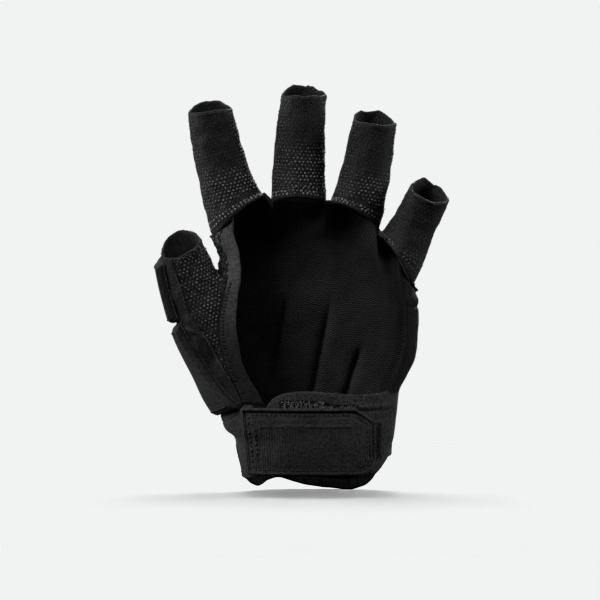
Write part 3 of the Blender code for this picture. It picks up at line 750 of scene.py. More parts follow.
def read_grid(grid, row, column):
    """The grid's value between its points. Columns past the last one wrap round."""
    row = np.clip(row, 0, grid.shape[0] - 1.001)
    r = np.floor(row).astype(int)
    c = np.floor(column).astype(int)
    a = (row - r)[..., None]
    b = (column - c)[..., None]
    low = grid[r, c % grid.shape[1]] * (1 - b) + grid[r, (c + 1) % grid.shape[1]] * b
    high = grid[r + 1, c % grid.shape[1]] * (1 - b) + grid[r + 1, (c + 1) % grid.shape[1]] * b
    return low * (1 - a) + high * a


def frame_of(normals):
    """Two directions across each normal."""
    side = unit(np.cross(normals, (0.0, 0.3, 1.0)))
    return side, np.cross(normals, side)


def ring_round(across, up, sides):
    """The corners of a ring round each point, spread by two directions."""
    turns = np.arange(sides)[None, :, None] * 2 * math.pi / sides
    return across[:, None] * np.cos(turns) + up[:, None] * np.sin(turns)


def ring_faces(low, sides):
    """Triangles between the ring of corners that starts at low and the one after it."""
    around = np.arange(sides)
    after = (around + 1) % sides
    quad = np.stack([low + around, low + after, low + sides + after, low + sides + around], -1)
    return [quad[:, [0, 1, 2]], quad[:, [0, 2, 3]]]


def repeated(faces, copies, step):
    """The same faces for each copy, whose corners are numbered step further on."""
    return (np.concatenate(faces)[None] + np.arange(copies)[:, None, None] * step).reshape(-1, 3)


def dome_mesh(name, centres, normals, radius, height, dot_tone_and_highlight):
    """Small rubber domes joined as one mesh, each with its own radius, height and shine."""
    sides = 8
    ring = ring_round(*frame_of(normals), sides)
    rings = []
    for share, lift in ((1.0, -0.2), (0.92, 0.45), (0.55, 0.88)):
        rings.append((centres + normals * height * lift)[:, None] + ring * radius[:, None, None] * share)
    points = np.concatenate(rings + [(centres + normals * height)[:, None]], 1)
    around = np.arange(sides)
    after = (around + 1) % sides
    faces = []
    for low in (0, sides):
        faces += ring_faces(low, sides)
    faces.append(np.stack([2 * sides + around, 2 * sides + after, np.full(sides, 3 * sides)], -1))
    every = repeated(faces, len(centres), points.shape[1])
    places = np.zeros((len(every), 3, 2))
    places[..., 0] = np.repeat(dot_tone_and_highlight, len(every) // len(centres))[:, None]
    return new_mesh(name, points.reshape(-1, 3), every, places)


def stitch_mesh(name, centres, ways, normals, length, thick):
    """Short threads lying on a surface, joined as one mesh."""
    sides = 6
    round_it = ring_round(np.cross(normals, ways), normals, sides)
    rings = []
    for along, share, lift in ((-0.42, 0.7, -0.1), (-0.15, 1.0, 0.2), (0.15, 1.0, 0.2), (0.42, 0.7, -0.1)):
        middle = centres + ways * length * along + normals * thick * lift
        rings.append(middle[:, None] + round_it * thick / 2 * share)
    ends = [centres + ways * length * half - normals * thick * 0.35 for half in (-0.5, 0.5)]
    points = np.concatenate(rings + [end[:, None] for end in ends], 1)
    around = np.arange(sides)
    after = (around + 1) % sides
    faces = []
    for low in range(0, 3 * sides, sides):
        faces += ring_faces(low, sides)
    first = np.full(sides, 4 * sides)
    faces.append(np.stack([after, around, first], -1))
    faces.append(np.stack([3 * sides + around, 3 * sides + after, first + 1], -1))
    return new_mesh(name, points.reshape(-1, 3), repeated(faces, len(centres), points.shape[1]))


def spaced(points, normals, pitch, start=0.5):
    """Places every pitch along a line, with their directions and normals."""
    walked = walked_along(points)
    at = np.arange(start * pitch, walked[-1] - 0.3 * pitch, pitch)

    def read(values, where):
        return np.stack([np.interp(where, walked, values[:, k]) for k in range(3)], -1)

    centres = read(points, at)
    ways = unit(read(points, at + pitch / 4) - read(points, at - pitch / 4))
    return centres, ways, square_to(read(normals, at), ways)


def sew(name, runs, finishes, slot, row):
    """Stitches of a row of the table along lines of (points, normals). Slant makes them a zigzag."""
    finish, pitch, length, thick, slant, start = STITCHES[row]
    parts = [spaced(points, normals, pitch, start) for points, normals in runs]
    centres, ways, upright = (np.concatenate(column) for column in zip(*parts))
    if slant:
        turn = np.where(np.arange(len(centres)) % 2, slant, -slant)[:, None]
        ways = ways * np.cos(turn) + np.cross(upright, ways) * np.sin(turn)
    add_piece(name, stitch_mesh(name, centres, ways, upright, length, thick), finishes[finish], slot)


def cord_mesh(name, points, normals, radius, flatness=1.0):
    """A thin piping along a line, with closed ends. radius is one value, or one for each point."""
    sides = 8
    across = np.cross(normals, unit(np.gradient(points, axis=0)))
    round_it = ring_round(across, normals * flatness, sides)
    tube = points[:, None] + round_it * np.broadcast_to(radius, len(points))[:, None, None]
    count = len(points)
    cloud = np.concatenate([tube.reshape(-1, 3), points[:1], points[-1:]])
    number = np.arange(count * sides).reshape(count, sides)
    after = np.roll(number, -1, 1)
    quad = np.stack([number[:-1], after[:-1], after[1:], number[1:]], -1).reshape(-1, 4)
    faces = [quad[:, [0, 1, 2]], quad[:, [0, 2, 3]]]
    first = np.full(sides, count * sides)
    faces.append(np.stack([after[0], number[0], first], -1))
    faces.append(np.stack([number[-1], after[-1], first + 1], -1))
    return new_mesh(name, cloud, np.concatenate(faces))


def add_cord(name, points, normals, radius, finish, slot, flatness=1.0):
    add_piece(name, cord_mesh(name, points, normals, radius, flatness), finish, slot)


# Finishes

class Value:
    """A shader socket that takes part in plain arithmetic."""

    def __init__(self, finish, socket):
        self.finish = finish
        self.socket = socket

    def maths(self, operation, first, second=None):
        sockets = {0: first} if second is None else {0: first, 1: second}
        return self.finish.node("Math", {"operation": operation}, sockets)

    def __add__(self, other):
        return self.maths("ADD", self, other)

    def __radd__(self, other):
        return self.maths("ADD", other, self)

    def __sub__(self, other):
        return self.maths("SUBTRACT", self, other)

    def __rsub__(self, other):
        return self.maths("SUBTRACT", other, self)

    def __mul__(self, other):
        return self.maths("MULTIPLY", self, other)

    def __rmul__(self, other):
        return self.maths("MULTIPLY", other, self)

    def __truediv__(self, other):
        return self.maths("DIVIDE", self, other)

    def __rtruediv__(self, other):
        return self.maths("DIVIDE", other, self)

    def __pow__(self, other):
        return self.maths("POWER", self, other)

    def sine(self):
        return self.maths("SINE", self)

    def part(self):
        """What is left of a value past its whole number."""
        return self.maths("FRACT", self)

    def size(self):
        return self.maths("ABSOLUTE", self)

    def rise(self, low, high):
        """0 below low, 1 above high and smooth in between."""
        settings = {"interpolation_type": "SMOOTHSTEP"}
        return self.finish.node("MapRange", settings, {"Value": self, "From Min": low, "From Max": high})


class Finish:
    """A material in the making."""

    def __init__(self, name, **constants):
        self.material = bpy.data.materials.new(name)
        self.material.use_nodes = True
        self.tree = self.material.node_tree
        self.shader = self.tree.nodes["Principled BSDF"]
        for socket, value in constants.items():
            self.shader.inputs[socket.replace("_", " ")].default_value = value

    def feed(self, socket, value):
        if isinstance(value, Value):
            self.tree.links.new(value.socket, socket)
        else:
            socket.default_value = value

    def node(self, kind, settings=None, sockets=None, output=0):
        """Any node: its settings are set first, and then its sockets are given values or links."""
        node = self.tree.nodes.new("ShaderNode" + kind)
        for name, setting in (settings or {}).items():
            setattr(node, name, setting)
        for name, value in (sockets or {}).items():
            self.feed(node.inputs[name], value)
        return Value(self, node.outputs[output])

    def split(self, vector, count):
        """The first parts of a vector, as single values."""
        return [self.node("SeparateXYZ", sockets={0: vector}, output=k) for k in range(count)]

    def cloth_place(self):
        """Distances across and along the cloth, in millimetres."""
        return self.split(self.node("UVMap", {"uv_map": "cloth"}), 2)

    def glove_place(self):
        """The place on the glove, in metres."""
        return self.node("TexCoord", output=3)

    def speckle(self, per_metre, detail=2.0, roughness=0.5):
        place = self.glove_place()
        sockets = {"Vector": place, "Scale": per_metre, "Detail": detail, "Roughness": roughness}
        return self.node("TexNoise", {}, sockets)

    def grain(self, per_metre, contrast):
        """A coarse fleck from about 0 to 1."""
        return (self.speckle(per_metre, 2.0, 0.7) - 0.5) * contrast + 0.5

    def blend(self, share, dark, light):
        """A colour between two, by share."""
        first, second = (colour if isinstance(colour, Value) else (*colour, 1.0) for colour in (dark, light))
        return self.node("Mix", {"data_type": "RGBA"}, {0: share, 6: first, 7: second}, output=2)

    def relief(self, height, distance, strength=1.0):
        sockets = {"Height": height, "Distance": distance, "Strength": strength}
        self.feed(self.shader.inputs["Normal"], self.node("Bump", {}, sockets))

    def colour(self, value):
        self.feed(self.shader.inputs["Base Color"], value)

    def gloss(self, value):
        self.feed(self.shader.inputs["Roughness"], value)


def knit_lining():
    """Fine wavy rows of a stretch knit."""
    finish = Finish("knit_lining", Sheen_Weight=0.05, Sheen_Roughness=0.5, Specular_IOR_Level=0.2)
    across, along = finish.cloth_place()
    drift = finish.speckle(260.0, 2.0)
    wave = (((across / KNIT_WAVE).part() * 2 - 1).size() - 0.5) * KNIT_SWING
    row = (along + wave + (drift - 0.5) * 1.5) / KNIT_ROW
    strand = (across * 9.0 + drift * 8.0).sine() * 0.5 + 0.5
    rib = 1 - (row.part() * 2 - 1).size() ** 1.4
    height = rib * (strand * 0.5 + 0.5)
    wear = finish.speckle(60.0, 3.0)
    shade = height ** 1.4 + wear * 0.30 - 0.18
    finish.colour(finish.blend(shade, (0.0018, 0.0018, 0.0020), (0.112, 0.112, 0.114)))
    finish.gloss(0.9 - height * 0.2)
    finish.relief(height, 0.00034, 1.0)
    return finish.material


def grip_cloth():
    """The plain knit between the rubber dots."""
    finish = Finish("grip_cloth", Sheen_Weight=0.08, Sheen_Roughness=0.4, Specular_IOR_Level=0.25)
    across, along = finish.cloth_place()
    drift = finish.speckle(300.0, 2.0)
    weft = (along * 5.6 + drift * 4.0).sine() * 0.5 + 0.5
    warp = (across * 5.6 + drift * 4.0).sine() * 0.5 + 0.5
    height = weft * warp
    wear = finish.speckle(90.0, 3.0)
    nap = finish.grain(800.0, 3.2)
    shade = height * 0.70 + wear * 0.40 + nap * 0.38 - 0.28
    finish.colour(finish.blend(shade, (0.0045, 0.0045, 0.0048), (0.064, 0.064, 0.065)))
    finish.gloss(0.75 - wear * 0.15)
    finish.relief(height + wear * 0.6 + nap * 0.4, 0.00014, 0.9)
    return finish.material


def grip_dot():
    """Soft rubber, painted lighter by each dot's tone, which on the fingers and thumb is painted highlight.
    """
    finish = Finish("grip_dot", Specular_IOR_Level=0.5)
    dot_tone_and_highlight, _ = finish.cloth_place()
    dust = finish.speckle(700.0, 2.0)
    shade = dot_tone_and_highlight * 0.85 + dust * 0.3 - 0.1
    finish.colour(finish.blend(shade, (0.010, 0.010, 0.0105), (0.250, 0.250, 0.254)))
    finish.gloss(0.66 - dot_tone_and_highlight * 0.28 + dust * 0.1)
    return finish.material


def smooth_stretch(name, dark, light, painted_highlight=0.0, foot=False):
    """A close, slightly brushed stretch cloth with fine upright ribs.

    The fourth argument paints it lighter towards the fingers as painted highlight, and foot paints its lower
    palm side near black as painted shade.
    """
    finish = Finish(name, Sheen_Weight=0.10, Sheen_Roughness=0.4, Specular_IOR_Level=0.25)
    across, _ = finish.cloth_place()
    nap = finish.grain(700.0, 4.6)
    cloud = finish.speckle(45.0, 3.0)
    rib = (across * 5.5 + nap * 1.0).sine() * 0.5 + 0.5
    shade = cloud * 0.45 + nap * 0.64 + rib * 0.18 - 0.16
    colour = finish.blend(shade, (dark, dark, dark * 1.03), (light, light, light * 1.02))
    # Painted highlight: the colour is painted lighter with height towards the fingers, between the darker
    # and lighter colours held in worn and pale.
    if painted_highlight:
        height = finish.split(finish.glove_place(), 3)[2]
        worn = (painted_highlight * 0.4, painted_highlight * 0.4, painted_highlight * 0.41)
        pale = finish.blend(shade, worn, (painted_highlight, painted_highlight, painted_highlight * 1.02))
        colour = finish.blend((height + cloud * 0.02).rise(*PAINTED_HIGHLIGHT_HEIGHTS), colour, pale)
    # Painted shade: knit masks the cuff's lower palm side, which is painted near black where it lies in
    # shade.
    if foot:
        across_hand, depth, height = finish.split(finish.glove_place(), 3)
        low = 1 - height.rise(*PAINTED_SHADE_HEIGHTS)
        knit = low * across_hand.rise(*PAINTED_SHADE_SIDES) * (1 - depth.rise(*PAINTED_SHADE_DEPTHS))
        colour = finish.blend(knit, colour, (0.0022, 0.0022, 0.0024))
    finish.colour(colour)
    finish.gloss(0.72 + nap * 0.16)
    finish.relief(rib * 0.5 + nap * 0.8, 0.00018, 1.0)
    return finish.material


def foam_cover(name, dark, light):
    """A smooth coated cloth over foam."""
    finish = Finish(name, Sheen_Weight=0.05, Sheen_Roughness=0.5, Specular_IOR_Level=0.3)
    fleck = finish.grain(700.0, 3.6)
    cloud = finish.speckle(70.0, 2.0)
    shade = cloud * 0.45 + fleck * 0.6
    finish.colour(finish.blend(shade, (dark, dark, dark * 1.04), (light, light, light * 1.03)))
    finish.gloss(0.6 + fleck * 0.2)
    finish.relief(fleck, 0.00014, 0.9)
    return finish.material


def strap_cover():
    """A ribbed webbing cover with worn light rows."""
    finish = Finish("strap_cover", Sheen_Weight=0.07, Sheen_Roughness=0.4, Specular_IOR_Level=0.3)
    across, along = finish.cloth_place()
    fleck = finish.grain(750.0, 4.4)
    cloud = finish.grain(80.0, 1.8)
    drift = finish.speckle(500.0, 2.0)
    rib = (across * 4.8 + fleck * 0.8).sine() * 0.5 + 0.5
    weft = (along * 6.0 + drift * 4.0).sine() * 0.5 + 0.5
    shade = cloud * 0.35 + fleck * 0.62 + rib * 0.16 + weft * 0.10 - 0.15
    finish.colour(finish.blend(shade, (0.0055, 0.0055, 0.0058), (0.052, 0.052, 0.053)))
    finish.gloss(0.66 + fleck * 0.18)
    finish.relief(rib * 0.7 + weft * 0.35 + fleck * 0.6, 0.00018, 1.0)
    return finish.material


def thread(name, dark, light):
    finish = Finish(name, Sheen_Weight=0.1, Specular_IOR_Level=0.4)
    twist = finish.speckle(2600.0, 1.0)
    finish.colour(finish.blend(twist, (dark, dark, dark * 1.03), (light, light, light * 1.02)))
    finish.gloss(0.5 + twist * 0.2)
    finish.relief(twist, 0.00006, 1.0)
    return finish.material


def fastener_pile():
    """The dark matted ground of the fastener."""
    finish = Finish("fastener_pile", Sheen_Weight=0.1, Sheen_Roughness=0.35, Specular_IOR_Level=0.2)
    loops = finish.speckle(2200.0, 4.0, 0.75)
    cloud = finish.speckle(400.0, 2.0)
    finish.colour(finish.blend(loops * 0.8 + cloud * 0.3, (0.0012, 0.0012, 0.0013), (0.011, 0.011, 0.0115)))
    finish.gloss(0.75 + loops * 0.2)
    finish.relief(loops + cloud * 0.5, 0.00035, 1.0)
    return finish.material


# Finger and thumb sleeves

TUBE_COLUMNS = 168
SLEEVE_ROWS = 96


def tube_angles():
    """Turns round a sleeve, from the middle of the back and round again."""
    return math.pi / 2 + np.arange(TUBE_COLUMNS) * 2 * math.pi / TUBE_COLUMNS


def finger_grid(finger):
    """The sleeve's outer face, with its folds and its frayed tip."""
    number = list(FINGERS).index(finger)
    angle = tube_angles()[None, :]
    share = np.linspace(0.0, 1.0, SLEEVE_ROWS)[:, None]
    points = finger_point(finger, angle, share)
    points = pushed(points, folds(points, "finger", number) * np.minimum(share * 8, 1.0), True)
    fray = folds(points, "finger tip", number)
    back = 0.6 + 0.9 * np.clip(np.sin(angle), 0, 1)
    points[..., 2] += fray * back * share**FRAY_SHARPNESS
    return points


def dot_places(points, axis, low, high, reach=125):
    """Staggered rows of dots, DOT_ROW apart along the digit and DOT_SPACING apart round it.

    low and high are the bare widths at the base and at the tip, and reach the turn from the front's
    middle, in degrees, up to which the cloth is dotted.
    """
    middle = TUBE_COLUMNS // 2
    span = round(TUBE_COLUMNS * reach / 360)
    columns = np.arange(middle - span, middle + span + 1)
    cut = points[:, columns]
    across = np.array((axis[2], 0.0, -axis[0]))
    up = cut @ axis
    side = cut @ across
    centre = side[:, span].mean()
    rows = np.arange(len(points))
    places = []
    for number, level in enumerate(np.arange(up[0].min(), up[-1].max(), DOT_ROW)):
        held = [k for k in range(len(columns)) if up[0, k] + low < level < up[-1, k] - high]
        if len(held) < 3:
            continue
        row = np.array([np.interp(level, up[:, k], rows) for k in held])
        line = read_grid(cut, row, np.array(held, float))
        walked = walked_along(line)
        nearest = np.argmin(np.abs(line @ across - centre) + np.abs(np.array(held) - span) * 1e-5)
        walked += line[nearest] @ across - centre - walked[nearest]
        spots = (np.arange(-40, 41) + (number % 2) / 2) * DOT_SPACING
        spots = spots[(spots > walked[0]) & (spots < walked[-1])]
        at = [np.interp(spots, walked, values) for values in (row, columns[held])]
        places.append(np.stack(at, -1))
    return np.concatenate(places)


def add_dots(name, points, places, dot_tone_and_highlight, finish, closed=True, radius=DOT_RADIUS):
    """Dots at places of a grid. Each one's tone runs from 0, flat and dark, to 1, tall and light; on the
    fingers and thumb that lightness is painted highlight.
    """
    normals = grid_normals(points, closed)
    centres = read_grid(points, places[:, 0], places[:, 1])
    upright = unit(read_grid(normals, places[:, 0], places[:, 1]))
    draw = np.random.default_rng(len(centres))
    bright = np.clip(dot_tone_and_highlight * draw.uniform(0.35, 1.40, len(centres)), 0, 1)
    centres = centres + draw.normal(0, 0.00013, centres.shape)
    round_side = np.clip(-upright[:, 1] * 3.5, 0.15, 1.0)
    height = (DOT_HEIGHT * round_side * (0.35 + 0.65 * bright))[:, None]
    mesh = dome_mesh(name, centres, upright, radius * (0.72 + 0.28 * bright), height, bright)
    add_piece(name, mesh, finish, "grip_fabric")


def across_columns(low, high, count=200):
    """Columns between two angles from the front's middle, in degrees."""
    middle = TUBE_COLUMNS // 2
    return middle + np.linspace(low, high, count) / 360 * TUBE_COLUMNS


def grid_line(points, rows, columns, closed=True):
    """A line over a grid with its normals."""
    rows = np.broadcast_to(rows, np.shape(columns)).astype(float)
    normals = grid_normals(points, closed)
    return read_grid(points, rows, columns), read_grid(normals, rows, columns)


def front_turns(places):
    """Degrees from the front's middle, towards the little-finger side above 0."""
    return (places[:, 1] - TUBE_COLUMNS // 2) / TUBE_COLUMNS * 360


def add_sleeve(node, points, finishes):
    inner = pushed(points, -SLEEVE_WALL, True)
    add_cloth(node + "_cloth", points, inner, finishes["grip"], "grip_fabric", [node], True)


def add_tip(digit, points, rows, row, seed, finishes):
    """The folded edge on the front of a sleeve's tip, and the loose threads round it."""
    line, normals = grid_line(points, row, across_columns(*HEM_REACH))
    name = digit + "_tip_hem"
    add_cord(name, line, normals, hem_radius(line), finishes["pale"], "grip_fabric", PIPING_FLATNESS)
    add_fringe(digit + "_tip_fringe", points, rows - 1.4, seed, finishes["fringe"])


def make_finger_sleeve(finger, finishes):
    points = finger_grid(finger)
    add_sleeve(finger + "_sleeve", points, finishes)
    length = FINGERS[finger][0]
    lean = math.radians(FINGERS[finger][1])
    axis = np.array((math.sin(lean), 0.0, math.cos(lean)))
    places = dot_places(points, axis, HEM_ROWS[-1] + 0.0014, 0.0015)
    fade, worn, proud = DOT_PAINTED_HIGHLIGHT[finger]
    up = places[:, 0] / (SLEEVE_ROWS - 1)
    turn = np.abs(front_turns(places) - 8)
    # Painted highlight: bare makes the dots flatter and darker in the upper middle, and the dots are painted
    # lighter near the base and towards the little-finger side; worn and proud hold the painted highlight of
    # the middle and of the rest.
    bare = ease((up - fade) / 0.20) * (1 - 0.75 * ease((turn - 30) / 32))
    painted_side_highlight = 0.55 + 0.45 * ease((front_turns(places) + 55) / 80)
    add_dots(finger + "_dots", points, places, (proud + (worn - proud) * bare) * painted_side_highlight, finishes["dot"])
    row_of = (SLEEVE_ROWS - 1) / length
    hem = across_columns(*HEM_REACH)
    hem_places = []
    for start, off in zip((0.0008, 0.0018), HEM_ROWS):
        line, _ = grid_line(points, off * row_of, hem)
        walked = walked_along(line)
        spots = np.arange(start, walked[-1], HEM_SPACING)
        hem_places.append(np.stack((np.full(len(spots), off * row_of), np.interp(spots, walked, hem)), -1))
    hem_places = np.concatenate(hem_places)
    bright = proud * (1.0 + 0 * hem_places[:, 0])
    add_dots(finger + "_hem_dots", points, hem_places, bright, finishes["dot"], radius=HEM_DOT_RADIUS)
    runs = [grid_line(points, 0.0008 * row_of, hem)]
    sew(finger + "_hem_stitches", runs, finishes, "grip_fabric", "finger hem")
    add_tip(finger, points, SLEEVE_ROWS, SLEEVE_ROWS - 1 - 0.0004 * row_of, 55, finishes)


def add_fringe(name, points, row, seed, finish):
    """Loose thread ends round a cut tip."""
    draw = np.random.default_rng(seed)
    count = FRINGE_COUNT
    columns = draw.uniform(0, TUBE_COLUMNS, count)
    centres, upright = grid_line(points, row, columns)
    below, _ = grid_line(points, row - 3.0, columns)
    ways = unit(centres - below) * draw.uniform(0.1, 1.0, (count, 1))
    ways = unit(ways + draw.normal(0, 0.6, (count, 3)))
    upright = square_to(upright, ways)
    centres = centres - upright * SLEEVE_WALL * draw.uniform(0, 0.8, (count, 1))
    mesh = stitch_mesh(name, centres, ways, upright, FRINGE_LENGTH, FRINGE_THICKNESS)
    add_piece(name, mesh, finish, "grip_fabric")


def hem_radius(line):
    """A folded edge shows as a thin broken line."""
    return 0.00013 + 0.00009 * np.clip(wander(line, 0.0035, 45), -1, 1)


THUMB_ROWS = 140
THUMB_COVER_TURN = -84


def thumb_grid():
    """The thumb sleeve's outer face from its base to its tip."""
    angle = tube_angles()[None, :]
    share = np.linspace(1.0, 0.0, THUMB_ROWS)[:, None]
    points = thumb_point(angle, share)
    away = np.minimum(share * 10, 1.0) * np.minimum((1 - share) * 8, 1.0)
    points = pushed(points, folds(points, "thumb") * away, True)
    points[..., 2] += folds(points, "thumb tip") * (1 - share) ** FRAY_SHARPNESS
    return points


def make_thumb_sleeve(finishes):
    points = thumb_grid()
    add_sleeve("thumb_sleeve", points, finishes)
    edge = edge_curve(THUMB_GRIP_EDGE)
    places = dot_places(points, THUMB_AXIS / np.linalg.norm(THUMB_AXIS), 0.0018, 0.0012, 128)
    spot = read_grid(points, places[:, 0], places[:, 1])
    places = places[(spot[:, 0] > edge(spot[:, 2]) + 0.0007) & (front_turns(places) > -80)]
    # Painted highlight: the thumb's dots are painted lighter towards the little-finger side.
    dot_tone_and_highlight = 0.50 + 0.50 * ease((front_turns(places) + 20) / 70)
    add_dots("thumb_dots", points, places, dot_tone_and_highlight, finishes["dot"])
    add_tip("thumb", points, THUMB_ROWS, THUMB_ROWS - 1 - 0.8, 56, finishes)
    make_thumb_cover(points, edge, finishes)


def make_thumb_cover(points, edge, finishes):
    """The plain cloth between the thumb's pads and its dotted cloth, with the fold across it."""
    middle = TUBE_COLUMNS // 2
    columns = np.arange(middle - TUBE_COLUMNS // 4, middle + TUBE_COLUMNS // 4)
    past = points[:, columns, 0] - edge(points[:, columns, 2])
    left = middle + THUMB_COVER_TURN / 360 * TUBE_COLUMNS
    right = np.array([np.interp(0.0, np.maximum.accumulate(row), columns) for row in past])
    row = np.arange(THUMB_ROWS, dtype=float)[:, None]
    column = left + (right[:, None] - left) * np.linspace(0, 1, 60)[None, :]
    row = np.broadcast_to(row, column.shape)
    laid = read_grid(points, row, column)
    normals = read_grid(grid_normals(points, True), row, column)
    fold_x, fold_height = zip(*THUMB_FOLD)
    fold_z = np.interp(laid[..., 0], np.array(fold_x) * HAND_WIDTH, palm_height(fold_height))
    below = fold_z - laid[..., 2]
    lift = 0.00040 + 0.00055 * ease(below / 0.0007) + 0.00045 * bump_at(below, 0.0010, 0.0008)
    lift = lift - 0.00045 * bump_at(below, -0.0004, 0.0005)
    outer = laid + normals * (lift + folds(laid, "thumb cover") * 0.6)[..., None]
    inner = laid - normals * 0.0004
    add_cloth("thumb_plain_cloth", outer, inner, finishes["plain"], "foam_cover", [])
    sewn = slice(4, THUMB_ROWS - 22)
    out = normals[sewn, -2]
    line = outer[sewn, -2] + out * 0.0001
    add_cord("thumb_edge_ridge", line, out, 0.00032, finishes["stretch"], "foam_cover")
    runs = [(outer[sewn, -6], out)]
    sew("thumb_edge_stitches", runs, finishes, "foam_cover", "thumb edge")


# Hand panels

def tucked(z):
    """How far a panel's foot sinks in under the cuff's hem."""
    return 0.0012 * (1 - ease((z - CUFF_TOP - 0.0002) / 0.0022))


def make_back_panel(finishes):
    """The knit back of the hand. Its inner face is the lining that shows through the open palm."""
    lowest = palm_height(-0.04)
    ends = [finger_base(finger) for finger in FINGER_BASES]
    last_x = side_seam_x(palm_height(SIDE_SEAM_TOP), SIDE_SEAM_ANGLE)
    top_x = np.linspace(ends[0][0][0], last_x, 230)[None, :]
    row = np.linspace(0.0, 1.0, 250)[:, None]
    across = (top_x - top_x[0, 0]) / (top_x[0, -1] - top_x[0, 0])
    z = lowest + (knuckle_line(top_x) - lowest) * row
    left_z = lowest + (knuckle_line(top_x[0, 0]) - lowest) * row
    right_z = lowest + (knuckle_line(top_x[0, -1]) - lowest) * row
    low_left = SEAM_X(lowest)
    low_right = side_seam_x(lowest, SIDE_SEAM_ANGLE)
    left_x = np.where(left_z < CROTCH, SEAM_X(left_z), LEFT_OF(left_z))
    right_x = side_seam_x(right_z, SIDE_SEAM_ANGLE)
    low_x = low_left + (low_right - low_left) * across
    straight = low_x + (top_x - low_x) * row
    left_off = left_x - (low_left + (top_x[0, 0] - low_left) * row)
    right_off = right_x - (low_right + (top_x[0, -1] - low_right) * row)
    x = (straight + left_off * (1 - across) + right_off * across)[:, ::-1]
    z = z[:, ::-1]
    outer = back_point(x, z)
    inner = back_point(x, z, BACK_WALL)
    off_edge = np.minimum(np.minimum(across, 1 - across) * 12, 1) * np.minimum((1 - row) * 14, 1)
    outer = pushed(outer, folds(outer, "back") * off_edge - tucked(z))
    valley = 0.0
    pucker = 0.0
    for off, along in groove_places(x, z):
        held = groove_strength(along)
        valley = np.maximum(valley, bump_at(off, 0.0, 0.0026) * held)
        beside = bump_at(off, 0.0013, 0.0012) * held
        drift = 40 * off + 2 * wander(outer, 0.006, 75)
        pucker = pucker + beside * (0.3 + np.sin(z * 2 * math.pi / PUCKER_PITCH + drift))
        pucker = pucker - 1.5 * bump_at(off, -0.0002, 0.0008) * held
    swell = COLUMN_SWELL * (1 - ease((z - palm_height(0.42)) / 0.030)) * (1 - valley)
    slack = folds(inner, "lining") + PUCKER_DEPTH * pucker + swell
    inner = inner - grid_normals(inner) * (slack * off_edge)[..., None]
    inner = outer + (inner - outer) * (0.25 + 0.75 * ease(np.minimum(across, 1 - across) * 25))[..., None]
    add_cloth("back_panel_cloth", outer, inner, finishes["lining"], "black_knit", ["back_panel"])
    runs = []
    for lower_x, lower_height, upper_x, upper_height in GROOVES:
        along = np.linspace(0.02, 0.97, 120)
        line_z = palm_height(lower_height + (upper_height - lower_height) * along)
        line_x = (lower_x + (upper_x - lower_x) * along) * HAND_WIDTH
        spots = back_point(line_x, line_z, BACK_WALL - 0.00045)
        runs.append((spots, np.tile((0.0, -1.0, 0.0), (len(spots), 1))))
    # Painted shade: the channel thread is near black so the sewn channels read dark.
    sew("channel_stitches", runs, finishes, "black_knit", "channel")


def strip_grid():
    lowest = palm_height(-0.04)
    right_edge = edge_curve(PALM_LEFT_EDGE)
    left_top = knuckle_line(FINGER_BASES["index"][0] * HAND_WIDTH) + SEAM_LAP
    corner_x = PALM_LEFT_EDGE[-1][1] * HAND_WIDTH
    row = np.linspace(0.0, 1.0, 190)[:, None]
    column = np.linspace(0.0, 1.0, 56)[None, :]
    left_z = lowest + (left_top - lowest) * row
    right_z = lowest + (knuckle_line(corner_x) + SEAM_LAP - lowest) * row
    seam_x = np.where(left_z < CROTCH, SEAM_X(left_z), LEFT_OF(left_z))
    start = angle_at(seam_x, left_z, -1)
    end = angle_at(right_edge(right_z), right_z, -1)
    angle = start + (end - start) * column
    x = hand_point(angle, left_z)[..., 0]
    z = lowest + (knuckle_line(x) + SEAM_LAP - lowest) * row
    points = hand_point(angle, z)
    return pushed(points, folds(points, "strip") * np.minimum(column * 10, 1) - tucked(points[..., 2]))


def make_thumb_side_strip(finishes):
    points = strip_grid()
    inner = pushed(points, -SHELL_WALL)
    node, rests_on = ["thumb_side_strip"], ["cuff_cloth"]
    add_cloth("thumb_side_cloth", points, inner, finishes["strip"], "smooth_stretch", node)
    rows = np.linspace(4, len(points) * 0.70, 240)
    runs = [grid_line(points, rows, np.full(240, column), False) for column in (9.0, 15.0)]
    sew("strip_stitches", runs, finishes, "smooth_stretch", "strip")
    sew("strip_light_stitches", runs[:1], finishes, "smooth_stretch", "strip light")
    make_crotch_gusset(finishes)


